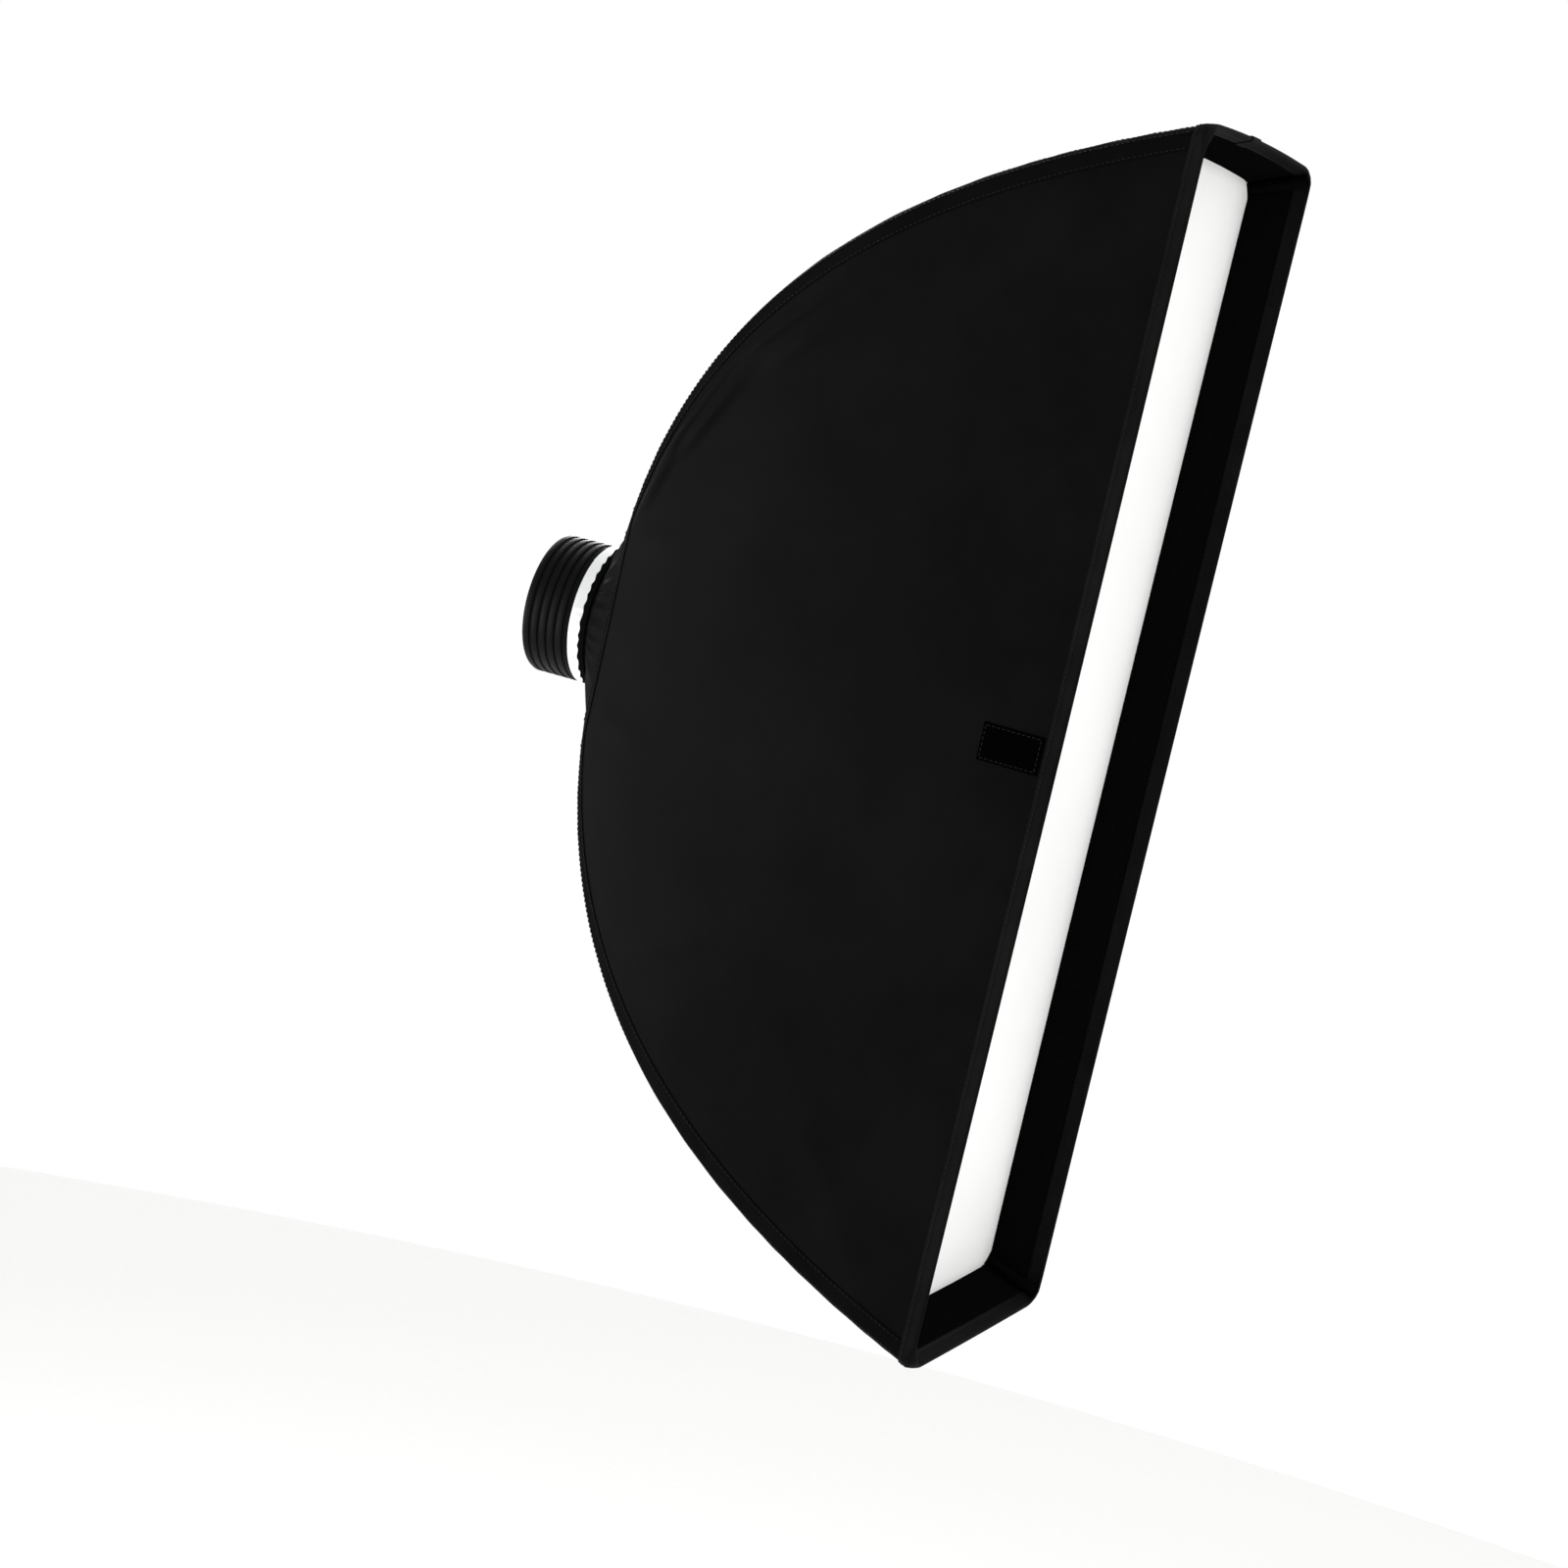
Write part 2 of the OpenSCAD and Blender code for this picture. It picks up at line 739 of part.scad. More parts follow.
module speedring() {
    arm_len = norm(arm_root) - arm_start + 2;
    color("#c3c6ca")
        difference() {
            union() {
                ring_y(disc_front, neck_back, neck_bore, neck_r, 0, edge_chamfer);
                ring_y(disc_front, disc_back, neck_bore, disc_r, edge_chamfer, edge_chamfer);
                intersection() {
                    for (sx = [-1, 1], sz = [-1, 1])
                        on_arm(sx, sz)
                            translate([0, disc_front, -arm_w / 2])
                                cube([arm_len, disc_t, arm_w]);
                    inside_sides(panel_t + arm_gap);
                    inside_ends(panel_t + arm_gap);
                }
                on_lock()
                    translate([0, 0, boss_root])
                        cylinder(h = boss_top - boss_root, r = boss_r, $fn = pin_fn);
            }
            bar_y(disc_front - 1, neck_back + 1, neck_bore);
            for (sx = [-1, 1], sz = [-1, 1]) {
                placed(sx, sz)
                    socket_axis(socket_r + fit_gap, socket_mouth - 5,
                                socket_mouth + socket_len + fit_gap);
                on_arm(sx, sz)
                    translate([screw_at, disc_back + 1, 0])
                        rotate([90, 0, 0])
                            cylinder(h = disc_t + 2, r = screw_r + fit_gap, $fn = pin_fn);
            }
            on_lock()
                translate([0, 0, neck_bore - 2])
                    cylinder(h = boss_top, r = lock_r + turn_gap, $fn = pin_fn);
        }
}

module socket(sx, sz) {
    color("#9da1a6")
        difference() {
            union() {
                placed(sx, sz)
                    socket_axis(socket_r, socket_mouth, socket_mouth + socket_len);
                on_arm(sx, sz)
                    translate([socket_len - tongue_in, disc_back, -tongue_w / 2])
                        cube([tongue_len + socket_mouth + tongue_in, tongue_t, tongue_w]);
            }
            placed(sx, sz)
                socket_axis(rod_r + bore_gap, socket_mouth - 1, socket_mouth + socket_len - socket_floor);
            on_arm(sx, sz)
                translate([screw_at, disc_back + tongue_t + 1, 0])
                    rotate([90, 0, 0])
                        cylinder(h = tongue_t + 2, r = screw_r + fit_gap, $fn = pin_fn);
        }
}

module socket_screws() {
    color("#77797d")
        for (sx = [-1, 1], sz = [-1, 1])
            on_arm(sx, sz)
                translate([screw_at, disc_back + tongue_t + head_h, 0])
                    rotate([90, 0, 0])
                        difference() {
                            union() {
                                cylinder(h = head_h, r = head_w, $fn = pin_fn);
                                cylinder(h = head_h + tongue_t + disc_t, r = screw_r, $fn = pin_fn);
                            }
                            translate([0, 0, -1])
                                cylinder(h = 1 + drive_depth, r = drive_r, $fn = 6);
                        }
}

// The lock pad's gap to the journal, and the lock knob's place and details
pad_gap = 0.12;
pad_face = journal_r + pad_gap;
pad_t = 2;
knob_gap = 3;
knob_base = boss_top + knob_gap;
knob_bore = 8;
knob_base_chamfer = 0.6;
knob_top_chamfer = 1.5;
flute_count = 8;
flute_r = 2.2;
flute_out = 0.9;
module lock_pad() {
    color("#e8e6df")
        on_lock()
            translate([0, 0, pad_face])
                cylinder(h = pad_t, r = lock_r, $fn = pin_fn);
}

module lock_screw() {
    color("#85888c")
        on_lock()
            translate([0, 0, pad_face + pad_t])
                cylinder(h = knob_base + knob_bore - pad_face - pad_t, r = lock_r, $fn = pin_fn);
}

module lock_knob() {
    color("#161617")
        on_lock()
            translate([0, 0, knob_base])
                difference() {
                    rotate_extrude($fn = pin_fn)
                        polygon([[0, 0], [knob_r - knob_base_chamfer, 0], [knob_r, knob_base_chamfer],
                                 [knob_r, knob_h - knob_top_chamfer],
                                 [knob_r - knob_top_chamfer, knob_h], [0, knob_h]]);
                    translate([0, 0, -1])
                        cylinder(h = knob_bore + 1, r = lock_r + fit_gap, $fn = pin_fn);
                    for (i = [0:flute_count - 1])
                        rotate([0, 0, i * 360 / flute_count])
                            translate([knob_r + flute_out, 0, -1])
                                cylinder(h = knob_h + 2, r = flute_r, $fn = pin_fn);
                }
}

// --- Collar -------------------------------------------------------------

collar_in = head_r + liner_t;
collar_out = collar_in + collar_wall;
rib_start = 2;
rib_share = 0.6;
rib_chamfer = 0.4;
relief_w = 1.5;
relief_back = -liner_len - 1;
// Where the bore steps down from the liner's seat to the journal
bore_step = -liner_len - 0.5;
latch_y = -19;
tongue_half = 4;
cheek_gap = 0.3;
cheek_t = 2;
pin_r = 1.5;
ear_x = latch_x - 3;
ear_half = 9.5;
cheek_out = tongue_half + cheek_gap + cheek_t;
wire_gap = 0.3;
wire_y = cheek_out + wire_gap + wire_r;
// Radius of the rounded end around the lever's pin
eye_r = 3;
plate_in = 3.4;
plate_t = 2;
plate_start = 4;
lip_len = 6;
lip_angle = 35;
lip_t = plate_t - 0.5;
lip_side = 0.2;
lip_step = 0.3;
// The blocks reach this far into the collar's wall, and this far past the pin and the keeper
block_x = head_r + 2;
block_below = 6;
block_above = 4;
keeper_gap = 0.1;
keeper_h = 5.3;
keeper_lip = 1.5;
bail_len = keeper_z + lever_z + crank;

// Round bar across the latch at a place [x, z]
module cross_bar(x, z, r, half) {
    translate([x, latch_y + half, z])
        rotate([90, 0, 0])
            cylinder(h = 2 * half, r = r, $fn = pin_fn);
}

module clamp_collar() {
    rib_pitch = (collar_len - 2 * rib_start) / rib_count;
    rib_w = rib_pitch * rib_share;
    color("#1a1a1c")
        difference() {
            union() {
                ring_y(-collar_len, 0, collar_in, collar_out, edge_chamfer, edge_chamfer);
                for (i = [0:rib_count - 1])
                    ring_y(-rib_start - i * rib_pitch - rib_w, -rib_start - i * rib_pitch,
                           collar_out - 1, collar_out + rib_h, rib_chamfer, rib_chamfer);
                ring_y(journal_front, -collar_len + 1, journal_bore, journal_r);
                ring_y(-collar_len, relief_back - relief_w, journal_bore, collar_out);
                // Block that carries the lever, and the tongue that its pin goes through
                translate([block_x, latch_y - ear_half, -lever_z - block_below])
                    cube([ear_x - block_x, 2 * ear_half, lever_z + block_below]);
                translate([block_x, latch_y - tongue_half, -lever_z - eye_r])
                    cube([latch_x - block_x, 2 * tongue_half, 2 * eye_r]);
                cross_bar(latch_x, -lever_z, eye_r, tongue_half);
                // Block and flat-topped keeper that the bail's bar sits behind
                translate([block_x, latch_y - ear_half, 0])
                    cube([ear_x - block_x, 2 * ear_half, keeper_z + block_above]);
                translate([block_x, latch_y - tongue_half - keeper_lip,
                           keeper_z - wire_r - keeper_gap - keeper_h])
                    cube([latch_x + keeper_lip - block_x, 2 * (tongue_half + keeper_lip), keeper_h]);
            }
            bar_y(bore_step, 1, collar_in);
            bar_y(journal_front - 1, bore_step + eps, journal_bore);
            // Clamping slit, and the relief slot that frees the clamping part from the journal
            translate([head_r - 10, relief_back, -slit_w / 2])
                cube([30, -relief_back + 1, slit_w]);
            translate([-10, relief_back - relief_w, -collar_out - 10])
                cube([collar_out + 20, relief_w, 2 * collar_out + 20]);
            // Pin bore
            cross_bar(latch_x, -lever_z, pin_r + turn_gap, tongue_half + 1);
            // Groove for the retaining ring
            ring_y(groove_back - ring_t - groove_gap, groove_back + groove_gap / 2, groove_r, journal_r + 1);
        }
}

module grip_liner() {
    color("#101011")
        difference() {
            ring_y(-liner_len, 0, head_r, collar_in - fit_gap);
            translate([head_r - 10, -liner_len - 1, -slit_w / 2])
                cube([20, liner_len + 2, slit_w]);
        }
}

module retaining_ring() {
    split = 8;
    color("#6d7075")
        difference() {
            ring_y(groove_back - ring_t, groove_back, groove_r + fit_gap, retain_r);
            translate([0, groove_back - ring_t - 1, -split / 2])
                cube([2 * retain_r, ring_t + 2, split]);
        }
}

module latch_pin() {
    color("#a7abb0")
        cross_bar(latch_x, -lever_z, pin_r, cheek_out);
}

module latch_lever() {
    color("#b9bcc0")
        difference() {
            union() {
                for (s = [-1, 1]) {
                    translate([latch_x - eye_r, latch_y + s * (cheek_out - cheek_t / 2) - cheek_t / 2,
                               -lever_z - lever_len])
                        cube([eye_r + plate_in + plate_t, cheek_t, lever_len]);
                    translate([0, s * (cheek_out - cheek_t / 2), 0])
                        cross_bar(latch_x, -lever_z, eye_r, cheek_t / 2);
                }
                translate([latch_x + plate_in, latch_y - cheek_out, -lever_z - lever_len])
                    cube([plate_t, 2 * cheek_out, lever_len - plate_start]);
                // Finger lip at the lever's free end
                translate([latch_x + plate_in + lip_step, latch_y - cheek_out + lip_side,
                           -lever_z - lever_len + 1])
                    rotate([0, -lip_angle, 0])
                        translate([0, 0, -lip_len])
                            cube([lip_t, 2 * (cheek_out - lip_side), lip_len]);
            }
            cross_bar(latch_x, -lever_z, pin_r + turn_gap, cheek_out + 1);
            cross_bar(latch_x, -lever_z - crank, wire_r + turn_gap, cheek_out + 1);
        }
}

module latch_bail() {
    color("#c9ccd0") {
        for (s = [-1, 1]) {
            translate([latch_x, latch_y + s * wire_y, -lever_z - crank])
                cylinder(h = bail_len, r = wire_r, $fn = pin_fn);
            for (z = [-lever_z - crank, keeper_z])
                translate([latch_x, latch_y + s * wire_y, z])
                    sphere(r = wire_r, $fn = pin_fn);
            translate([0, s * (wire_y - (cheek_t + wire_gap + wire_r) / 2), 0])
                cross_bar(latch_x, -lever_z - crank, wire_r, (cheek_t + wire_gap + wire_r) / 2);
        }
        cross_bar(latch_x, keeper_z, wire_r, wire_y);
    }
}

clamp_collar();
grip_liner();
retaining_ring();
latch_pin();
latch_lever();
latch_bail();
speedring();
socket(-1, 1);  // socket_upper_left
socket(1, 1);  // socket_upper_right
socket(-1, -1);  // socket_lower_left
socket(1, -1);  // socket_lower_right
socket_screws();
lock_knob();
lock_screw();
lock_pad();
rod(-1, 1);  // rod_upper_left
rod(1, 1);  // rod_upper_right
rod(-1, -1);  // rod_lower_left
rod(1, -1);  // rod_lower_right
rod_tips();
sleeve(-1, 1);  // sleeve_upper_left
sleeve(1, 1);  // sleeve_upper_right
sleeve(-1, -1);  // sleeve_lower_left
sleeve(1, -1);  // sleeve_lower_right
pocket(-1, 1);  // pocket_upper_left
pocket(1, 1);  // pocket_upper_right
pocket(-1, -1);  // pocket_lower_left
pocket(1, -1);  // pocket_lower_right
side_panel(-1);  // side_panel_left
side_panel(1);  // side_panel_right
end_panel(1);  // end_panel_top
end_panel(-1);  // end_panel_bottom
side_lining(-1);  // side_lining_left
side_lining(1);  // side_lining_right
end_lining(1);  // end_lining_top
end_lining(-1);  // end_lining_bottom
rear_skirt();
closure_strap();
front_binding();
loop_tape();
side_patches();
inner_baffle();
baffle_hem();
baffle_tabs();
front_diffuser();
hook_border();
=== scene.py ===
# %% [markdown]
# # A strip softbox, dressed
#
# A strip softbox is a long, narrow tent of black cloth that is held open by four bent rods.
# The rods sit in a metal speedring, and the speedring turns on a collar that grips a flash head.
# The metal parts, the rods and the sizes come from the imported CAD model. This lesson keeps them as
# they are and builds the sewn parts around them: cloth, tape, webbing, stitching and diffusers.

# %% Load the frame
import json
from contextlib import contextmanager
from functools import cache
from math import atan2, copysign, cos, exp, hypot, pi, radians, sin

import bpy
import numpy as np
from mathutils import Matrix, Vector, noise

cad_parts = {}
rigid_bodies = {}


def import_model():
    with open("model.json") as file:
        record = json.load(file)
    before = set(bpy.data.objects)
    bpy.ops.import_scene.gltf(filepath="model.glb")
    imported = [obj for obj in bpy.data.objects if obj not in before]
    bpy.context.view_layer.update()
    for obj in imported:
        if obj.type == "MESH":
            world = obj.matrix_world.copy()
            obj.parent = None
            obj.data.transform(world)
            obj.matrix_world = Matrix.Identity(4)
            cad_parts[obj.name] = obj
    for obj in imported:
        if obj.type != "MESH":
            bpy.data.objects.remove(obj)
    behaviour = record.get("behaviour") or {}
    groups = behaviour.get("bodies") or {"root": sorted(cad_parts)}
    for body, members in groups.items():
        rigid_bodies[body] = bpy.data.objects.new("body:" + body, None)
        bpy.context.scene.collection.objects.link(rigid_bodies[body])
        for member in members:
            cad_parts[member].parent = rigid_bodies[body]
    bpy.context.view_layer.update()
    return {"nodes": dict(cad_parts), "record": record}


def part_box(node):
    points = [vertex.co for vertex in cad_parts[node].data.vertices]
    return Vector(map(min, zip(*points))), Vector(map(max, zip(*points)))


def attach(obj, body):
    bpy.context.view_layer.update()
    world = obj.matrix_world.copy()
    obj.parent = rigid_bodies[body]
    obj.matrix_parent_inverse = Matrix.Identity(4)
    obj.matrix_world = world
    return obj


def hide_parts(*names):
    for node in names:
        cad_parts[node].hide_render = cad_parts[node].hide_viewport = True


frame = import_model()

# %% [markdown]
# ## The camera
#
# The lens looks at the softbox from its left, a little in front of it and slightly from above. It is
# rolled about its own axis, so the box leans in the picture the way it leans on a tilted stand. The
# camera is placed first, because each later piece is judged through it.

# %% Camera
CAMERA_PLACE = Vector((-2.6332, -1.2018, 0.2819))
CAMERA_AIM = Vector((-0.0164, -0.2291, -0.0873))
CAMERA_ROLL = radians(13.04)
LENS_MM = 84.12

bpy.ops.object.select_all(action="DESELECT")
bpy.ops.object.camera_add(location=CAMERA_PLACE)
camera = bpy.context.object
look = (CAMERA_AIM - CAMERA_PLACE).to_track_quat("-Z", "Y").to_matrix()
camera.rotation_euler = (look @ Matrix.Rotation(CAMERA_ROLL, 3, "Z")).to_euler()
camera.data.lens = LENS_MM
camera.data.sensor_width = 36
bpy.context.scene.camera = camera
print("camera looks", round((CAMERA_AIM - CAMERA_PLACE).length, 3), "m")

# %% [markdown]
# ## Light and floor
#
# Black cloth on white paper wants large, soft lights. The whole surroundings glow white. A broad lamp
# in front fills the white diffuser. Two more at the sides, a little behind, draw a faint sheen on the
# side panels and pick out their folds, and a last one from above the collar lets the skirt's gathers
# show.
# The colours are meant to come out as written, so the plain Standard view is used. The floor is a wide
# pale disc, far below, where the stand's feet would be.

# %% Surroundings
FLOOR_Z = -2.2
scene = bpy.context.scene
scene.view_settings.view_transform = "Standard"
world = bpy.data.worlds.new("white_studio")
scene.world = world
world.use_nodes = True
world.node_tree.nodes["Background"].inputs["Color"].default_value = (1, 1, 1, 1)
world.node_tree.nodes["Background"].inputs["Strength"].default_value = 1.0


def lamp(name, place, aim, width, height, watts):
    """A flat, soft lamp of that size that shines from place towards aim."""
    bpy.ops.object.light_add(type="AREA", location=place)
    made = bpy.context.object
    made.name = name
    made.data.shape = "RECTANGLE"
    made.data.size, made.data.size_y = width, height
    made.data.energy = watts
    made.rotation_euler = (Vector(aim) - Vector(place)).to_track_quat("-Z", "Y").to_euler()
    return made


lamp("front_fill", (0.9, -3.2, 0.3), (0, -0.4, 0), 1.6, 1.6, 14)
lamp("rear_sheen", (-1.0, 1.5, -0.5), (0, -0.2, -0.05), 0.8, 1.2, 52)
lamp("back_soft", (1.9, 2.3, 1.5), (0, -0.1, 0), 1.0, 1.0, 60)
lamp("right_sheen", (2.2, 0.9, 0.4), (0.1, -0.25, 0), 1.0, 1.4, 45)

# %% [markdown]
# ## Small helpers
#
# Every finish is made of nodes, so one function adds a node with its settings and links. Colours are
# written as a paint chart gives them, as sRGB hex values, and one function makes them linear.

# %% Node and colour helpers
MM = 0.001


def linear(code):
    """Linear RGBA of an sRGB hex value such as '#1b1c1e'."""
    parts = [int(code[i:i + 2], 16) / 255 for i in (1, 3, 5)]
    return tuple(c / 12.92 if c <= 0.04045 else ((c + 0.055) / 1.055) ** 2.4 for c in parts) + (1.0,)


def add(tree, kind, inputs=None, links=None, **settings):
    """Adds a node to a tree: settings are its own options, inputs are values, links are sockets."""
    made = tree.nodes.new("ShaderNode" + kind)
    for key, value in settings.items():
        setattr(made, key, value)
    for key, value in (inputs or {}).items():
        made.inputs[key].default_value = value
    for key, source in (links or {}).items():
        tree.links.new(source, made.inputs[key])
    return made


def start_finish(name, roughness, metallic=0.0, **sockets):
    """A new material with one Principled shader. Returns the material, its tree, the shader and
    the object's own coordinates."""
    made = bpy.data.materials.new(name)
    made.use_nodes = True
    tree = made.node_tree
    shader = tree.nodes["Principled BSDF"]
    shader.inputs["Roughness"].default_value = roughness
    shader.inputs["Metallic"].default_value = metallic
    for key, value in sockets.items():
        shader.inputs[key.replace("_", " ")].default_value = value
    return made, tree, shader, add(tree, "TexCoord").outputs["Object"]


def wire(tree, shader, tone, normal, rough=None):
    """Links a tone, a bumped normal and, where it varies, a roughness to the shader."""
    for key, source in (("Base Color", tone), ("Normal", normal), ("Roughness", rough)):
        if source:
            tree.links.new(source, shader.inputs[key])


print("helpers ready")

# %% [markdown]
# ## Cloth finishes
#
# Woven cloth is two sets of threads that cross at right angles. A wave pattern along each direction,
# multiplied together, gives the small pillows where one thread passes over another. The threads are
# laid out on the piece's own UV map, whose unit is the metre, so the weave follows the cloth round its
# bends. A slow noise over the whole piece changes the tone a little, as dyed cloth does.

# %% Woven cloth
WAVE_PERIOD = 0.31416  # length of one wave of Blender's wave texture at scale 1


def woven(name, dark, light, warp_mm, weft_mm, relief_mm, roughness, mottle_mm=60, **sockets):
    """Cloth from two crossing sets of threads, warp_mm and weft_mm apart, on the UV map."""
    made, tree, shader, spot = start_finish(name, roughness, **sockets)
    place = add(tree, "UVMap").outputs["UV"]
    warp, weft = [
        add(tree, "TexWave", {"Scale": WAVE_PERIOD / (pitch * MM)}, {"Vector": place},
            wave_type="BANDS", bands_direction=way).outputs["Fac"]
        for way, pitch in (("X", warp_mm), ("Y", weft_mm))]
    threads = add(tree, "Math", None, {0: warp, 1: weft}, operation="MULTIPLY").outputs[0]
    mottle = add(tree, "TexNoise", {"Scale": 1 / (mottle_mm * MM), "Detail": 4.0, "Roughness": 0.6},
                 {"Vector": spot}).outputs["Fac"]
    shade = add(tree, "MapRange", {"From Min": 0.3, "From Max": 0.7}, {"Value": mottle}).outputs[0]
    tone = add(tree, "Mix", {6: linear(dark), 7: linear(light)}, {0: shade}, data_type="RGBA")
    rough = add(tree, "MapRange", {"To Min": roughness - 0.06, "To Max": roughness + 0.06},
                {"Value": mottle}).outputs[0]
    bump = add(tree, "Bump", {"Strength": 1.0, "Distance": relief_mm * MM}, {"Height": threads})
    wire(tree, shader, tone.outputs[2], bump.outputs[0], rough)
    return made


# Polyurethane-coated polyester taffeta: threads 0.3 mm apart on the real one, drawn at 0.9 mm so
# that they show. The eye sees a smooth, nearly black cloth with a faint, dry sheen.
SHELL = woven("coated_polyester_taffeta", "#030303", "#090909", 0.9, 0.9, 0.03, 0.6, 110,
              Specular_IOR_Level=0.02, Sheen_Weight=0.004, Sheen_Roughness=0.5)
# Nylon grosgrain tape: fat weft ribs 1 mm apart across the tape. It is drawn blacker and a bit
# glossier than the cloth next to it: a black tape, its extra blackness painted shade where the cloth
# turns over the rods at the seams and the rear edge.
GROSGRAIN_PAINTED_SHADE = woven("nylon_grosgrain_tape_painted_shade", "#030303", "#070707", 1.0, 4.0, 0.10, 0.6,
                  Specular_IOR_Level=0.015)
# The binding is the same tape, drawn greyer than it as a painted sheen, where the light catches the
# rounded front edge.
BINDING_PAINTED_SHEEN = woven("nylon_grosgrain_binding_painted_sheen", "#0b0b0c", "#131314", 1.0, 4.0, 0.10, 0.6,
                Specular_IOR_Level=0.015)
# Polypropylene webbing: coarse, flat threads 1.5 mm apart.
WEBBING = woven("black_webbing", "#040404", "#070707", 1.5, 1.1, 0.14, 0.75,
                Specular_IOR_Level=0.01)
# Ripstop nylon diffuser cloth, calendered white: it scatters light, so it looks chalky and even.
DIFFUSER = woven("white_ripstop_nylon", "#f1f1f0", "#f6f6f5", 0.6, 0.6, 0.02, 0.75, 200,
                 Specular_IOR_Level=0.3)
# White polyester hook tape and edge webbing, a shade warmer than the diffuser.
WHITE_TAPE = woven("white_polyester_tape", "#e4e4df", "#ecece8", 1.0, 1.4, 0.10, 0.7,
                   Specular_IOR_Level=0.3)
print("woven finishes", [m.name for m in (SHELL, GROSGRAIN_PAINTED_SHADE, BINDING_PAINTED_SHEEN, WEBBING, DIFFUSER, WHITE_TAPE)])

# %% [markdown]
# The other soft finishes aren't plain weaves. Loop pile is a lawn of tiny nylon loops, drawn as small
# round cells with a deep relief and painted shade between them, so that almost no light comes back
# from it. The lining is polyester with a thin film of aluminium: a soft mirror, finely crinkled by the
# weave under it, and painted darker in the hollows of its crinkles as shade.

# %% Loop pile and silver lining
def loop_pile(name, dark, light):
    """Black nylon loop pile, its loops 1.2 mm apart, with painted shade between the loops and painted
    light on their tops.
    """
    made, tree, shader, spot = start_finish(name, 0.95, Specular_IOR_Level=0.0)
    loops = add(tree, "TexVoronoi", {"Scale": 1 / (1.2 * MM)}, {"Vector": spot})
    # Painted shade: the tone is darkest between the loops and lightest on their raised tops.
    tone = add(tree, "ValToRGB", None, {"Fac": loops.outputs["Distance"]})
    tone.color_ramp.elements[0].color = linear(light)
    tone.color_ramp.elements[1].color = linear(dark)
    bump = add(tree, "Bump", {"Strength": 1.0, "Distance": 0.4 * MM},
               {"Height": loops.outputs["Distance"]}, invert=True)
    wire(tree, shader, tone.outputs[0], bump.outputs[0])
    return made


def metallised():
    """Aluminised polyester lining: a soft mirror with crinkles 20 mm apart and a 1 mm weave, painted
    darker in the crinkles' hollows as shade.
    """
    made, tree, shader, spot = start_finish("aluminised_polyester", 0.36, 1.0)
    place = add(tree, "UVMap").outputs["UV"]
    crinkle = add(tree, "TexNoise", {"Scale": 1 / (20 * MM), "Detail": 5.0, "Roughness": 0.55},
                  {"Vector": spot}).outputs["Fac"]
    weave = add(tree, "TexWave", {"Scale": WAVE_PERIOD / (1.0 * MM)}, {"Vector": place},
                wave_type="BANDS", bands_direction="DIAGONAL").outputs["Fac"]
    # Painted shade: the tone follows the crinkles' height, darker in their hollows and lighter on
    # their crests.
    tone = add(tree, "Mix", {6: linear("#b9bdc2"), 7: linear("#d6d9dc")}, {0: crinkle},
               data_type="RGBA")
    coarse = add(tree, "Bump", {"Strength": 1.0, "Distance": 1.2 * MM}, {"Height": crinkle})
    fine = add(tree, "Bump", {"Strength": 1.0, "Distance": 0.02 * MM},
               {"Height": weave, "Normal": coarse.outputs[0]})
    wire(tree, shader, tone.outputs[2], fine.outputs[0])
    return made


# The patch is the blackest thing on the box. The tape in the recess is drawn a shade greyer.
LOOP_PILE = loop_pile("nylon_loop_pile", "#010101", "#030303")
RECESS_PILE = loop_pile("recess_loop_pile", "#050505", "#0a0a0b")
SILVER = metallised()
print("pile and lining ready")

# %% [markdown]
# ## Hard finishes
#
# The hard parts differ in how their surface was made. Turned aluminium keeps fine rings from the
# lathe and shines in streaks. Anodised aluminium is bead-blasted first, so it is evenly dull.
# Moulded plastic copies the spark-eroded grain of its mould, and pulled glass-fibre rods show
# their fibres lengthwise. Each is a fine noise at a real size, and a coarser one for its wear.

# %% Metal, plastic, rubber and rod
def grained(name, dark, light, grain_mm, relief_mm, roughness, metallic=0.0, stretch=(1, 1, 1),
            **sockets):
    """A hard finish with an even grain of that size. stretch makes the grain finer along an axis."""
    made, tree, shader, spot = start_finish(name, roughness, metallic, **sockets)
    turned = add(tree, "Mapping", {"Scale": stretch}, {"Vector": spot}).outputs[0]
    grain = add(tree, "TexNoise", {"Scale": 1 / (grain_mm * MM), "Detail": 3.0},
                {"Vector": turned}).outputs["Fac"]
    scuff = add(tree, "TexNoise", {"Scale": 1 / (12 * MM), "Detail": 6.0, "Roughness": 0.65},
                {"Vector": spot}).outputs["Fac"]
    tone = add(tree, "Mix", {6: linear(dark), 7: linear(light)}, {0: scuff}, data_type="RGBA")
    rough = add(tree, "MapRange", {"To Min": max(roughness - 0.08, 0.05), "To Max": roughness + 0.08},
                {"Value": scuff}).outputs[0]
    bump = add(tree, "Bump", {"Strength": 1.0, "Distance": relief_mm * MM}, {"Height": grain})
    wire(tree, shader, tone.outputs[2], bump.outputs[0], rough)
    return made


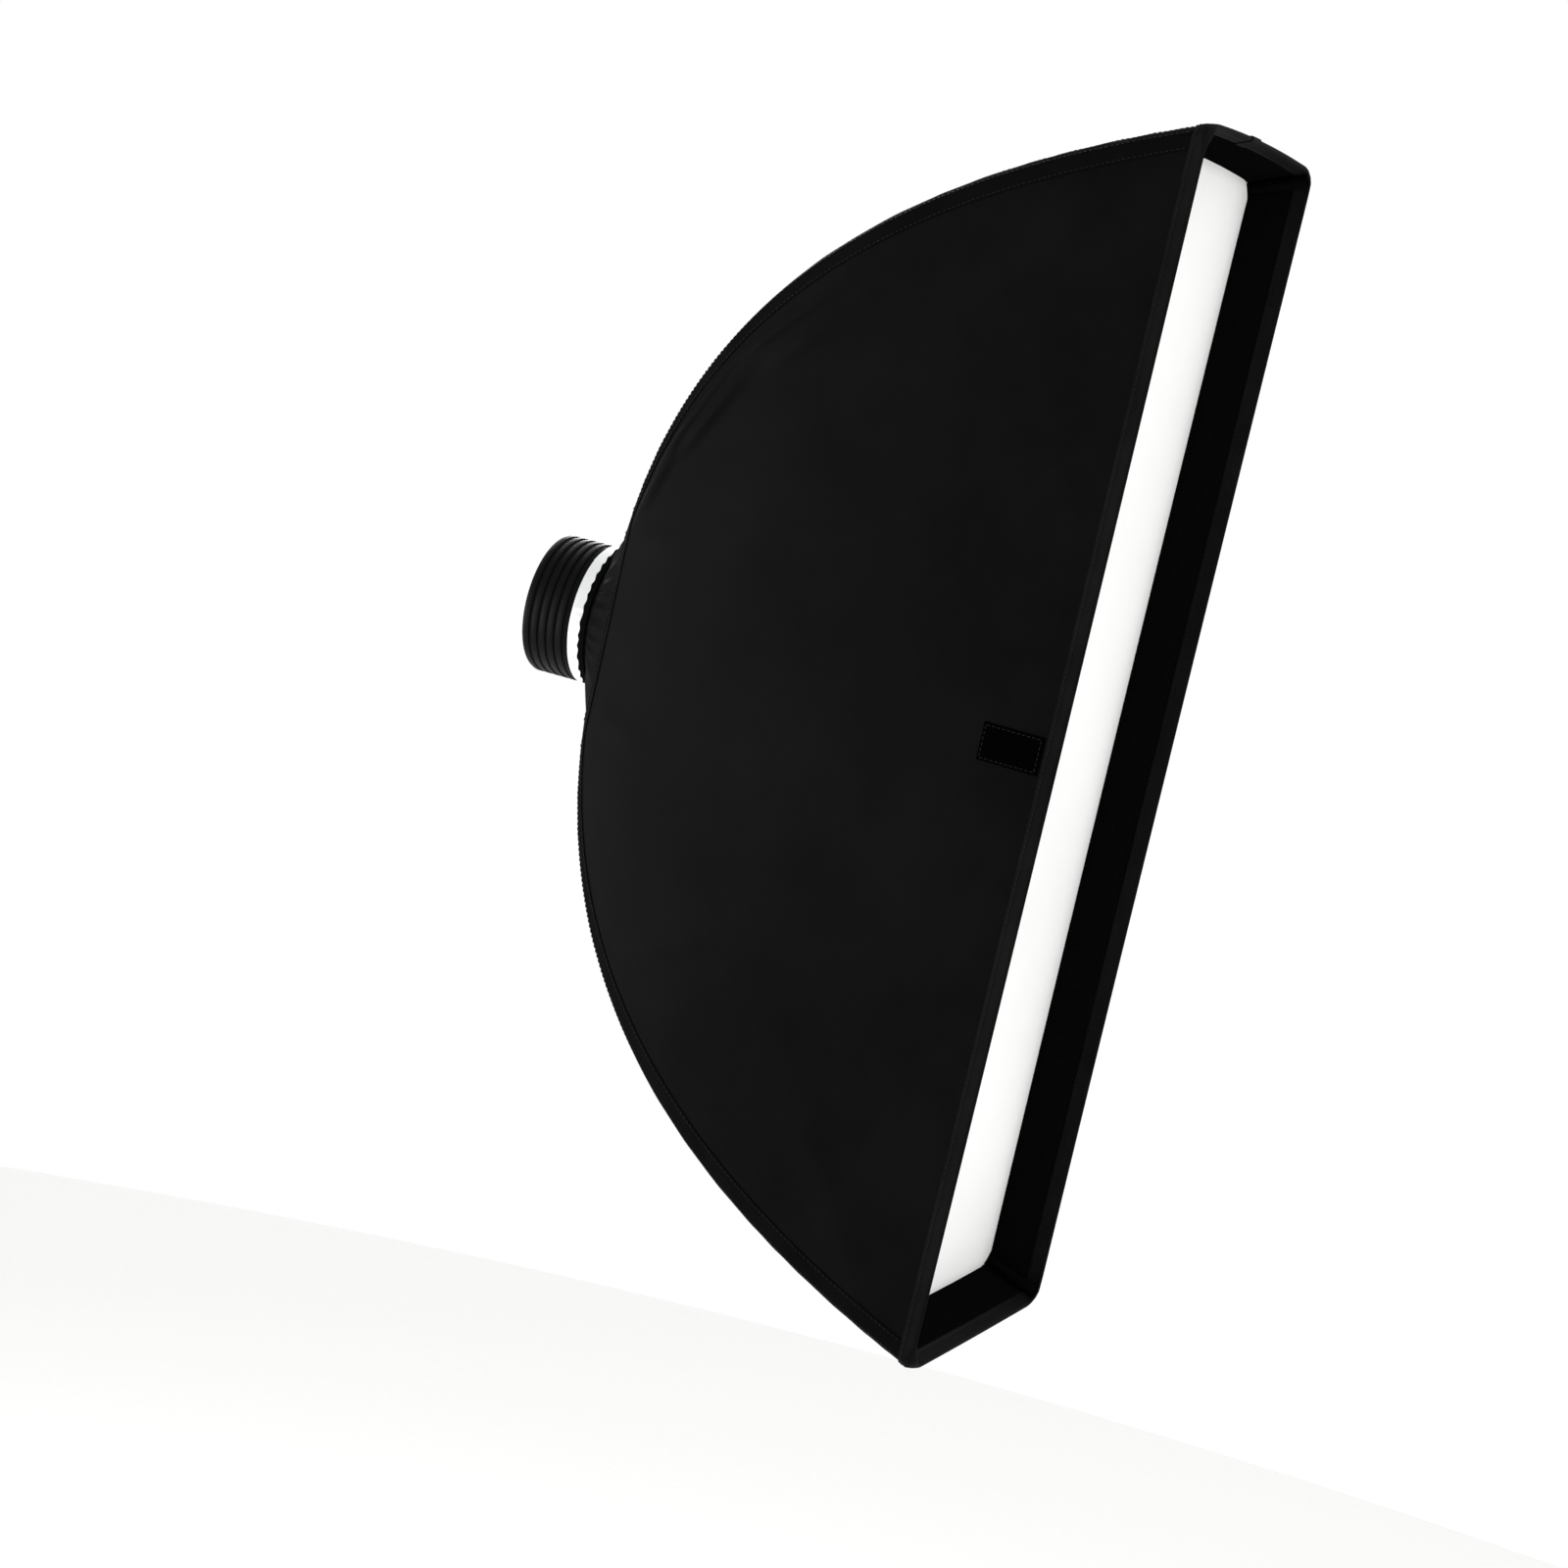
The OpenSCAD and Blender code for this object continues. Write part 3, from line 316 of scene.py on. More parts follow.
HARD = {
    # Satin-turned, clear-anodised aluminium: lathe rings run round the Y axis, so the grain is
    # fine along Y and long the other ways. It is the one bright band behind the black cloth.
    "ring_aluminium": grained("turned_aluminium", "#d9dadb", "#eeefef", 2.0, 0.012, 0.34, 1.0,
                              stretch=(0.2, 6, 0.2)),
    # Die-cast aluminium, tumbled: greyer and duller than the ring.
    "socket_aluminium": grained("cast_aluminium", "#8e9195", "#a6a9ad", 0.9, 0.03, 0.48, 1.0),
    # Bead-blasted, black-anodised aluminium: an even, dry black with a wide highlight.
    "collar_black": grained("black_anodised_aluminium", "#030303", "#070708", 0.5, 0.012, 0.45,
                            Specular_IOR_Level=0.05),
    # Nitrile rubber: matt, and dusty grey where light grazes it.
    "rubber": grained("nitrile_rubber", "#141414", "#1b1b1b", 0.8, 0.04, 0.85,
                      Specular_IOR_Level=0.25),
    # Zinc-plated steel wire and screws: cold grey and fairly bright.
    "steel": grained("zinc_plated_steel", "#9fa3a8", "#c0c3c6", 0.6, 0.01, 0.3, 1.0),
    # Stamped, tumbled and zinc-plated steel lever: greyer than the wire, its shine broken up.
    "lever_steel": grained("zinc_plated_stamping", "#8b8f94", "#adb1b5", 0.9, 0.02, 0.38, 1.0),
    # Glass-filled nylon, spark-eroded mould grain.
    "knob_plastic": grained("moulded_glass_nylon", "#121213", "#19191a", 0.7, 0.05, 0.55,
                            Specular_IOR_Level=0.4),
    # Natural nylon, machined: milky and soft-looking.
    "nylon": grained("natural_nylon", "#d8d5c9", "#e4e1d6", 0.8, 0.02, 0.5),
    # Pultruded glass fibre, tinted dark: the fibres run along the rod.
    "rod_composite": grained("pultruded_glass_fibre", "#1c1e22", "#2a2d33", 1.2, 0.03, 0.35,
                             Specular_IOR_Level=0.45),
}
# Bonded polyester thread, twisted from three plies: a touch glossier than the cloth it is in.
BLACK_THREAD = grained("black_bonded_thread", "#0b0b0c", "#131314", 0.5, 0.03, 0.5,
                       Specular_IOR_Level=0.08)
WHITE_THREAD = grained("white_bonded_thread", "#e6e6e2", "#f0f0ec", 0.5, 0.03, 0.5)
print("hard finishes", sorted(HARD))

# %% [markdown]
# ## Dressing the CAD parts
#
# The record lists which nodes share a finish. A CAD node is made of loose triangles with hard
# corners, so each hard part gets a copy that is merged into one skin, whose sharp edges are rounded
# by a fraction of a millimetre, as every real edge is, and whose round faces are shaded smooth.
# The copy stands for its node. The soft nodes are replaced later by sewn pieces.

# %% Hard parts
ROUNDING_MM = 0.25
CAD_MERGE, GRID_MERGE = 0.01 * MM, 0.02 * MM


def alone(piece):
    """Selects one object only and makes it the active one."""
    bpy.ops.object.select_all(action="DESELECT")
    piece.select_set(True)
    bpy.context.view_layer.objects.active = piece


@contextmanager
def editing(piece):
    """Edit mode on one object, with all of its mesh selected."""
    alone(piece)
    bpy.ops.object.mode_set(mode="EDIT")
    bpy.ops.mesh.select_all(action="SELECT")
    yield
    bpy.ops.object.mode_set(mode="OBJECT")


def apply_modifier(piece, kind, **settings):
    """Adds a modifier with its settings and applies it at once."""
    alone(piece)
    made = piece.modifiers.new(kind.lower(), kind)
    for key, value in settings.items():
        setattr(made, key, value)
    bpy.ops.object.modifier_apply(modifier=made.name)


def refined(node, finish, body):
    """A merged copy of a CAD node with rounded edges. It rides on body and stands for the node."""
    copy = frame["nodes"][node].copy()
    copy.data = copy.data.copy()
    for key in [k for k in copy.keys() if k.startswith("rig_")]:
        del copy[key]
    copy.parent = None
    copy.name = node + "_finished"
    scene.collection.objects.link(copy)
    with editing(copy):
        bpy.ops.mesh.remove_doubles(threshold=CAD_MERGE)
    apply_modifier(copy, "BEVEL", width=ROUNDING_MM * MM, segments=2, limit_method="ANGLE",
                   angle_limit=radians(40), use_clamp_overlap=True)
    bpy.ops.object.shade_smooth_by_angle(angle=radians(35))
    copy.data.materials.clear()
    copy.data.materials.append(finish)
    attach(copy, body)
    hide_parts(node)
    return copy


body_of = {node: body for body, nodes in frame["record"]["behaviour"]["bodies"].items()
           for node in nodes}
for entry in frame["record"]["subparts"]:
    node, slot = entry["node"], entry["material_slot"]
    if slot in HARD:
        refined(node, HARD[slot], body_of[node])

# %% [markdown]
# ## The shape of the shell
#
# The four walls meet in four seams, and each seam lies along a bent rod. A Bezier curve describes
# it well: it leaves the socket nearly flat, bends over, and runs almost straight at the front
# corner. Every wall point is found from two numbers: t, the way from the rods' roots (0) to the
# front edge (1), and v, the way across the wall from one seam (-1) to the other (1). A third
# number is the depth below the outer face, so that each layer of cloth gets its own place.

# %% The seam's curve
FRONT_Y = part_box("front_binding")[0].y
HALF_WIDTH, HALF_HEIGHT = 0.1525, 0.4575
ROOT_X, ROOT_Z, SHELL_DEPTH = 0.068, 0.072, 0.400
ROOT_SLOPE, TIP_SLOPE = radians(8.9), radians(70.9)
ROOT_PULL, TIP_PULL = 0.227, 0.200
HALVINGS = 40

SPAN = hypot(HALF_WIDTH - ROOT_X, HALF_HEIGHT - ROOT_Z)
SEAM = [Vector((0, SHELL_DEPTH)),
        Vector((ROOT_PULL * cos(ROOT_SLOPE), SHELL_DEPTH - ROOT_PULL * sin(ROOT_SLOPE))),
        Vector((SPAN - TIP_PULL * cos(TIP_SLOPE), TIP_PULL * sin(TIP_SLOPE))),
        Vector((SPAN, 0))]
ROOT = {"side": ROOT_X, "end": ROOT_Z}
SHARE = {"side": (HALF_WIDTH - ROOT_X) / SPAN, "end": (HALF_HEIGHT - ROOT_Z) / SPAN}
OTHER = {"side": "end", "end": "side"}
WALLS = {"left": ("side", -1), "right": ("side", 1), "bottom": ("end", -1), "top": ("end", 1)}
OUTWARD = {"left": Vector((-1, 0.3, 0)), "right": Vector((1, 0.3, 0)),
           "bottom": Vector((0, 0.3, -1)), "top": Vector((0, 0.3, 1))}


@cache
def profile(kind, t):
    """A wall's half size, its place along Y and its outward normal, t of the way to the front."""
    k = 1 - t
    s, y = k ** 3 * SEAM[0] + 3 * k * k * t * SEAM[1] + 3 * k * t * t * SEAM[2] + t ** 3 * SEAM[3]
    ds, dy = (3 * k * k * (SEAM[1] - SEAM[0]) + 6 * k * t * (SEAM[2] - SEAM[1])
              + 3 * t * t * (SEAM[3] - SEAM[2]))
    normal = Vector((-dy, SHARE[kind] * ds)).normalized()
    return ROOT[kind] + SHARE[kind] * s, FRONT_Y + y, normal


def half_across(wall, t):
    """Half the width of a wall: how far its seams lie from its middle."""
    return profile(OTHER[WALLS[wall][0]], t)[0]


@cache
def t_at(behind_mm):
    """How far along the seam the point lies that is that many millimetres behind the front."""
    low, high = 0.0, 1.0
    for _ in range(HALVINGS):
        middle = (low + high) / 2
        if profile("side", middle)[1] > FRONT_Y + behind_mm * MM:
            low = middle
        else:
            high = middle
    return low


print("front plane at y", round(FRONT_Y, 4), "m; the recess floor is at t", round(t_at(44), 3))

# %% [markdown]
# Cloth between two bent rods isn't flat. The long side walls are pulled lengthwise as well as
# across, so their middle and their free front edge sink a few millimetres. The short end walls stand
# out a little instead. Near a seam the cloth rolls over the rod's sleeve and doesn't end in a knife
# edge. Two walls meet halfway round that roll, a little below the surface, as in a real seam.

# %% A point on a wall
ROOT_ROLL, ROOT_SPAN = 2.5 * MM, 0.06
ROLL, FRONT_ROLL, EDGE_ROLL, EDGE_T = 5 * MM, 7.5 * MM, 25 * MM, 0.990
GROOVE = 0.5 * MM
# How far each wall sinks in its middle and at its front edge. Minus is outwards.
SAG = {"left": (4.5 * MM, 3 * MM), "right": (4.5 * MM, 3 * MM),
       "top": (-1.5 * MM, -4 * MM), "bottom": (-3 * MM, -1 * MM)}
MEETING_ANGLE = pi / 4  # halfway round the quarter turn of the roll
ROLLED_SHARE = 0.08  # share of the steps across a wall that lie on its rolled edges


def between(a, b, share):
    """The value at that share of the way from a to b."""
    return a + (b - a) * share


def smooth(x):
    """Goes from 0 to 1 with soft ends."""
    x = min(max(x, 0.0), 1.0)
    return x * x * (3 - 2 * x)


def roll_at(t):
    """Radius of the rolled edge beside a seam: small over the sockets, widest at the front."""
    return (ROOT_ROLL + (ROLL - ROOT_ROLL) * smooth(t / ROOT_SPAN) + (FRONT_ROLL - ROLL) * t ** 6
            + (EDGE_ROLL - FRONT_ROLL) * smooth((t - EDGE_T) / (1 - EDGE_T)))


def sag(wall, t, v):
    """How far the taut wall sinks below a straight line from seam to seam."""
    middle, front = SAG[wall]
    return (1 - v * v) * (middle * 4 * t * (1 - t) + front * t ** 4)


@cache
def meeting(t):
    """Where the walls of one corner meet, and the side wall's and end wall's own rolled edges."""
    (x, y_side, n_side), (z, y_end, n_end) = profile("side", t), profile("end", t)
    gap = roll_at(t) * (1 - cos(MEETING_ANGLE))
    side = Vector((x - gap * n_side.x, y_side - gap * n_side.y, z - gap))
    end = Vector((x - gap, y_end - gap * n_end.y, z - gap * n_end.x))
    inward = -Vector((n_side.x, (n_side.y + n_end.y) / 2, n_end.x)).normalized()
    return (side + end) / 2 + GROOVE * inward, side, end


def wall_point(wall, t, v, depth=0.0):
    """A point of a wall: t from the roots to the front, v across it, depth below the outer face."""
    kind, sign = WALLS[wall]
    half, y, normal = profile(kind, t)
    cross = profile(OTHER[kind], t)[0]
    roll, across, pull = roll_at(t), abs(v) * cross, 0.0
    drop = depth + sag(wall, t, v)
    if cross - across < roll:
        pull = 1 - (cross - across) / roll
        across = cross - roll + roll * sin(pull * MEETING_ANGLE)
        drop += roll * (1 - cos(pull * MEETING_ANGLE))
    out, y = half - drop * normal.x, y - drop * normal.y
    place = Vector((out, y, across)) if kind == "side" else Vector((across, y, out))
    if pull:
        corner, side, end = meeting(t)
        place += pull * pull * (corner - (side if kind == "side" else end))
    signs = (sign, copysign(1, v)) if kind == "side" else (copysign(1, v), sign)
    return Vector((signs[0] * place.x, place.y, signs[1] * place.z))


def across_wall(wall, t, share):
    """v for a share from 0 to 1 of the way across, with extra steps on the rolled edges."""
    roll = roll_at(t) / half_across(wall, t)
    a = abs(2 * share - 1)
    v = (1 - roll * (1 - a) / ROLLED_SHARE if a > 1 - ROLLED_SHARE
         else (1 - roll) * a / (1 - ROLLED_SHARE))
    return copysign(v, share - 0.5)


def v_beside(wall, t, way, distance):
    """v at that distance from a wall's upper (1) or lower (-1) seam, or a part of that v."""
    return way * (1 - distance / half_across(wall, t))


print("left wall, middle:", [round(x, 4) for x in wall_point("left", 0.5, 0)])

# %% [markdown]
# ## Sewing a sheet
#
# A sheet of cloth starts as a grid primitive. Each of its points is moved to the place that a
# function gives for it, its UVs are written in metres so that threads keep their size, its faces
# are turned to look outwards, and Solidify gives it a thickness on the inner side. A sheet that
# closes on itself, such as a sleeve, has the two edges of its grid merged first.

# %% Cloth from a grid
def face_outwards(piece, outward):
    """Turns all the faces of an open sheet round if most of them look away from outward."""
    total = 0.0
    for face in piece.data.polygons:
        way = outward(face.center) if callable(outward) else outward
        total += face.area * face.normal.dot(way)
    if total < 0:
        piece.data.flip_normals()


def cloth(name, place, cells, outward, thick_mm, flat, closed=False, offset=-1.0, cut=None):
    """A sheet from a grid: place(u, v) gives each point. flat is the size of the flat cloth, or
    a function of u and v that gives the point's place on it."""
    bpy.ops.object.select_all(action="DESELECT")
    bpy.ops.mesh.primitive_grid_add(x_subdivisions=cells[0], y_subdivisions=cells[1], size=1)
    piece = bpy.context.object
    piece.name = piece.data.name = name
    mesh = piece.data
    shares = [(min(max(p.co.x + 0.5, 0), 1), min(max(p.co.y + 0.5, 0), 1)) for p in mesh.vertices]
    for loop, corner in zip(mesh.loops, mesh.uv_layers[0].data):
        u, v = shares[loop.vertex_index]
        corner.uv = flat(u, v) if callable(flat) else (u * flat[0], v * flat[1])
    for point, (u, v) in zip(mesh.vertices, shares):
        point.co = place(u, v)
    if closed:
        with editing(piece):
            bpy.ops.mesh.remove_doubles(threshold=GRID_MERGE)
    face_outwards(piece, outward)
    if cut:
        cut(piece)
    apply_modifier(piece, "SOLIDIFY", thickness=thick_mm * MM, offset=offset,
                   use_even_offset=False)
    bpy.ops.object.shade_smooth_by_angle(angle=radians(50))
    return piece


def dress(piece, finish, slot, *nodes, body="softbox"):
    """Gives a piece its finish and its body, and hides the CAD nodes that it stands for."""
    piece.data.materials.clear()
    piece.data.materials.append(finish)
    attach(piece, body)
    if nodes:
        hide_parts(*nodes)
    return piece


def joined(name, parts):
    """Joins several pieces into one."""
    bpy.ops.object.select_all(action="DESELECT")
    for part in parts:
        part.select_set(True)
    bpy.context.view_layer.objects.active = parts[0]
    bpy.ops.object.join()
    parts[0].name = parts[0].data.name = name
    return parts[0]


def length_of(line):
    """Length of a line through points."""
    return sum((b - a).length for a, b in zip(line, line[1:]))


FORWARDS = Vector((0, -1, 0))
print("cloth tools ready")

# %% [markdown]
# ## The outer shell
#
# The shell is four panels of black coated polyester: two tall sides and two short ends. Taut cloth
# is smooth but never dead flat. The stitches pull small puckers beside each seam, soft folds fan
# out from the corners where the rods push hardest, and the weave holds faint, slow waves. All of
# these only rise above the taut surface, so they never reach into the lining below.

# %% Folds in the shell
STEPS_T = 96
PUCKER_PITCH, PUCKER_REACH, PUCKER_RISE = 17 * MM, 15 * MM, 0.45 * MM
PUCKER_DIP, PUCKER_DRIFT = -0.2, 0.06
WAVE_SIZE, WAVE_RISE = 0.11, 1.1 * MM
# How far from a seam the waves, the puckers and the folds have their full height
WAVE_FADE, PUCKER_FADE, FOLD_FADE = 0.05, 6 * MM, 0.03
# The shares of a fold over which it grows and dies away, and the same for all of them along t
FOLD_GROWS, FOLD_DIES, RISE_GROWS, RISE_DIES = 0.35, 0.6, 0.04, 0.06
# Each fold: from (t, v), to (t, v), half width and rise in millimetres
FOLDS = {
    "left": [((0.34, -0.90), (0.62, -0.52), 9, 1.3), ((0.40, -0.93), (0.74, -0.62), 12, 1.0),
             ((0.93, 0.97), (0.62, 0.60), 14, 1.2), ((0.93, -0.97), (0.66, -0.62), 14, 1.2),
             ((0.95, 0.93), (0.55, 0.78), 10, 0.9), ((0.06, 0.6), (0.30, 0.35), 10, 1.0),
             ((0.06, -0.6), (0.32, -0.30), 10, 1.0), ((0.10, 0.84), (0.36, 0.93), 4, 3.2),
             ((0.16, 0.72), (0.40, 0.86), 6, 3.2), ((0.28, 0.90), (0.56, 0.91), 5, 3.0),
             ((0.34, 0.80), (0.62, 0.84), 8, 2.4), ((0.04, 0.70), (0.25, 0.86), 5, 3.2)],
    "right": [((0.92, 0.96), (0.60, 0.58), 13, 1.2), ((0.93, -0.97), (0.64, -0.55), 14, 1.3),
              ((0.07, 0.5), (0.30, 0.30), 10, 1.0), ((0.30, 0.9), (0.55, 0.55), 10, 0.9)],
    "top": [((0.92, 0.85), (0.60, 0.30), 12, 1.4), ((0.92, -0.85), (0.55, -0.35), 12, 1.2)],
    "bottom": [((0.92, 0.80), (0.58, 0.25), 12, 1.2), ((0.92, -0.85), (0.60, -0.30), 12, 1.4)],
}


def rise(wall, t, v):
    """How far the cloth stands above the taut wall: waves, puckers by the seams and long folds."""
    def plan(p):
        return Vector((p.y, p.z if WALLS[wall][0] == "side" else p.x))

    flat = wall_point(wall, t, v)
    here = plan(flat)
    edge = (1 - abs(v)) * half_across(wall, t)
    total = WAVE_RISE * (0.5 + 0.5 * noise.noise(flat / WAVE_SIZE)) * smooth(edge / WAVE_FADE)
    along = flat.y + flat.x + abs(flat.z)
    ripple = sin(2 * pi * along / PUCKER_PITCH + 3 * noise.noise(flat / PUCKER_DRIFT))
    total += (PUCKER_RISE * max(ripple, PUCKER_DIP) * exp(-edge / PUCKER_REACH)
              * smooth(edge / PUCKER_FADE))
    for start, end, width, height in FOLDS[wall]:
        a, b = plan(wall_point(wall, *start)), plan(wall_point(wall, *end))
        share = (here - a).dot(b - a) / (b - a).length_squared
        off = (here - a - share * (b - a)).length
        if 0 < share < 1 and off < 3 * width * MM:
            total += (height * MM * exp(-(off / (width * MM)) ** 2) * smooth(share / FOLD_GROWS)
                      * smooth((1 - share) / FOLD_DIES) * smooth(edge / FOLD_FADE))
    return max(total, 0.0) * smooth((1 - t) / RISE_DIES) * smooth(t / RISE_GROWS)


print("folds", {wall: len(found) for wall, found in FOLDS.items()})

# %% The four panels
PANEL_MM = 1.0
PANEL_FRONT = t_at(2.0)
PANEL_CELLS = {"side": 200, "end": 96}
NODE_OF = {"left": "side_panel_left", "right": "side_panel_right",
           "top": "end_panel_top", "bottom": "end_panel_bottom"}


def arc(wall, t0, t1, steps=60):
    """Length of a wall's line between two values of t."""
    return length_of([Vector(profile(WALLS[wall][0], between(t0, t1, i / steps))[:2])
                      for i in range(steps + 1)])


def flat_area(wall, t0, t1, trim=0.0, steps=80):
    """Area of the flat pattern of a wall between two values of t, trimmed at both seams."""
    total = 0.0
    for i in range(steps):
        a, b = [between(t0, t1, j / steps) for j in (i, i + 1)]
        total += (half_across(wall, a) + half_across(wall, b) - 2 * trim) * arc(wall, a, b, 1)
    return total


def shell_panel(wall):
    """One panel of the shell, rolled at its seams, with its waves and folds."""
    length = arc(wall, 0, PANEL_FRONT)

    def place(u, v):
        t = u * PANEL_FRONT
        w = across_wall(wall, t, v)
        return wall_point(wall, t, w, -rise(wall, t, w))

    def flat(u, v):
        return u * length, (2 * v - 1) * half_across(wall, u * PANEL_FRONT)

    piece = cloth("shell_" + wall, place, (STEPS_T, PANEL_CELLS[WALLS[wall][0]]), OUTWARD[wall],
                  PANEL_MM, flat)
    return dress(piece, SHELL, "shell_cloth", NODE_OF[wall])


panels = {wall: shell_panel(wall) for wall in WALLS}
for wall in WALLS:
    print(wall, "panel", round(arc(wall, 0, PANEL_FRONT), 3), "x",
          round(2 * half_across(wall, PANEL_FRONT), 3), "m, area",
          round(flat_area(wall, 0, PANEL_FRONT), 4))

# %% [markdown]
# ## The lining
#
# Behind the outer cloth hangs a second layer with a thin aluminium film. It is sewn in only along
# its edges, so it is a little looser than the shell and crinkles inwards. It stops short of the
# corners, where the rods' sleeves are, and starts behind the front diffuser's tape.

# %% Lining panels
LINING_TOP_MM, LINING_MM, LINING_LOOSE_MM = 1.2, 0.8, 3.0
CORNER_CLEAR = 12.3 * MM
LINING_START, LINING_END = t_at(388), t_at(67)
LAYER_CELLS = {"side": 96, "end": 48}
CRINKLE_SIZE = 0.05
HELD_ENDS, HELD_SEAMS = 0.06, 0.08  # shares of a lining that its sewn edges keep flat


def layer(wall, name, start, stop, top_mm, thick_mm, steps, loose_mm=0.0):
    """A layer inside a wall between two values of t, clear of the corners. If it is sewn in
    loosely, it crinkles inwards by up to loose_mm."""
    length = arc(wall, start, stop)

    def place(u, v):
        t = between(start, stop, u)
        w = v_beside(wall, t, 2 * v - 1, CORNER_CLEAR)
        loose = 0.0
        if loose_mm:
            held = (smooth(u / HELD_ENDS) * smooth((1 - u) / HELD_ENDS)
                    * smooth((1 - abs(2 * v - 1)) / HELD_SEAMS))
            crinkle = noise.fractal(wall_point(wall, t, w) / CRINKLE_SIZE, 0.6, 2.1, 4)
            loose = loose_mm * MM * (0.5 + 0.5 * crinkle) * held
        return wall_point(wall, t, w, top_mm * MM + loose)

    def flat(u, v):
        return u * length, (2 * v - 1) * (half_across(wall, between(start, stop, u)) - CORNER_CLEAR)

    return cloth(name, place, (steps, LAYER_CELLS[WALLS[wall][0]]), OUTWARD[wall], thick_mm, flat)


for wall in WALLS:
    piece = layer(wall, "lining_" + wall, LINING_START, LINING_END, LINING_TOP_MM, LINING_MM, 64,
                  LINING_LOOSE_MM)
    dress(piece, SILVER, "silver_lining", NODE_OF[wall].replace("panel", "lining"))

# %% [markdown]
# ## Loop tape in the recess
#
# The front of the shell stands 44 mm proud of the diffuser. A wide band of black loop tape is sewn
# inside that lip: it holds the diffuser's hook tape, and it swallows stray light, which is why the
# lip looks like a black frame around the white.

# %% Loop tape
TAPE_TOP_MM, TAPE_MM, TAPE_BACK_MM, TAPE_FRONT_MM = 1.2, 0.8, 66, 13


def band(name, back_mm, front_mm, top_mm, thick_mm, steps):
    """A tape inside all four walls, between two distances behind the front edge."""
    return joined(name, [layer(wall, name, t_at(back_mm), t_at(front_mm), top_mm, thick_mm, steps)
                         for wall in WALLS])


loop_tape = dress(band("loop_tape_band", TAPE_BACK_MM, TAPE_FRONT_MM, TAPE_TOP_MM, TAPE_MM, 10),
                  RECESS_PILE, "loop_tape", "loop_tape")
print("loop tape faces", len(loop_tape.data.polygons))

# %% [markdown]
# ## The front binding
#
# A raw edge of coated cloth would fray, so grosgrain tape is folded round it and sewn through. The
# tape runs once round the whole front as one strip. Its cross-section is a narrow U: down the
# outside, round the edge, and up the inside. Its two ends lap over each other near the middle of
# the top edge, which shows as a small step.

# %% Loop around the front
SIDE_STATIONS, END_STATIONS = 110, 60
ROUND = [("top", -1, END_STATIONS), ("left", -1, SIDE_STATIONS),
         ("bottom", 1, END_STATIONS), ("right", 1, SIDE_STATIONS)]


@cache
def loop_frame(t):
    """Points of the outer face's line round the box at t, and the outward direction at each."""
    line = []
    for wall, way, count in ROUND:
        for j in range(count):
            share = (j + 0.5) / count
            line.append(wall_point(wall, t, across_wall(wall, t, share if way > 0 else 1 - share)))
    outward = []
    for i, here in enumerate(line):
        along = line[(i + 1) % len(line)] - line[i - 1]
        way = Vector((along.z, 0, -along.x)).normalized()
        outward.append(way if way.dot(Vector((here.x, 0, here.z))) > 0 else -way)
    return line, outward


STATIONS = len(loop_frame(1.0)[0])
front_line = loop_frame(1.0)[0]
PERIMETER = length_of(front_line + front_line[:1])
print("front edge", round(PERIMETER, 3), "m round,", STATIONS, "stations")

# %% Binding round the edge
BINDING_MM, BINDING_LEGS = 0.8, (12.0, 9.0, 6.0, 3.0)
FOLD_R, FOLD_DEPTH, FOLD_BEHIND, FOLD_STEPS = 1.1, 0.5, 1.5, 6
FOLD_FRONT, BINDING_FLAT, LAP_FLAT = 1.2 * MM, 28 * MM, 30 * MM


def fold(grow=0.0):
    """Depth and distance behind the front edge, in mm, of points down the binding's middle."""
    radius = FOLD_R + grow
    turn = [pi * k / FOLD_STEPS for k in range(FOLD_STEPS + 1)]
    return ([(FOLD_DEPTH - radius, b) for b in BINDING_LEGS]
            + [(FOLD_DEPTH - radius * cos(a), FOLD_BEHIND - radius * sin(a)) for a in turn]
            + [(FOLD_DEPTH + radius, b) for b in reversed(BINDING_LEGS)])


FOLD = fold()


def bound(line_at, out_at, points, k):
    """Point k of the binding's fold, on the line round the box that line_at(t) gives."""
    depth, behind = points[k]
    base = line_at(t_at(max(behind, 0.0)))
    return base - depth * MM * out_at + Vector((0, min(behind, 0.0) * MM, 0))


def binding_place(u, v):
    """Round the front (u) and round the fold (v)."""
    i, k = round(u * STATIONS) % STATIONS, round(v * (len(FOLD) - 1))
    return bound(lambda t: loop_frame(t)[0][i], loop_frame(1.0)[1][i], FOLD, k)


def from_axis(place):
    """Outwards from the Y axis."""
    return Vector((place.x, 0, place.z))


def front_of_fold(place):
    """Outwards on the rounded front of a fold, which settles which way its whole sheet faces."""
    return Vector((0, -1 if place.y < FRONT_Y + FOLD_FRONT else 0, 0))


binding = cloth("front_edge_binding", binding_place, (STATIONS, len(FOLD) - 1), front_of_fold,
                BINDING_MM, (PERIMETER, BINDING_FLAT), closed=True, offset=0.0)
dress(binding, BINDING_PAINTED_SHEEN, "webbing_black", "front_binding")

LAP_FROM, LAP_TO, LAP_CELLS = -14 * MM, -37 * MM, 8
LAP_FOLD = fold(BINDING_MM + 0.05)


def lap_place(u, v):
    """Along the lapped end (u) and round its wider fold (v)."""
    x = between(LAP_FROM, LAP_TO, u)
    return bound(lambda t: wall_point("top", t, x / half_across("top", t)), Vector((0, 0, 1)),
                 LAP_FOLD, round(v * (len(LAP_FOLD) - 1)))


lap = cloth("binding_lap", lap_place, (LAP_CELLS, len(LAP_FOLD) - 1), front_of_fold, BINDING_MM,
            (LAP_FROM - LAP_TO, LAP_FLAT), offset=0.0)
dress(lap, BINDING_PAINTED_SHEEN, "webbing_black")
print("binding", round(PERIMETER, 3), "m long, lapped by", round((LAP_FROM - LAP_TO) / MM), "mm")
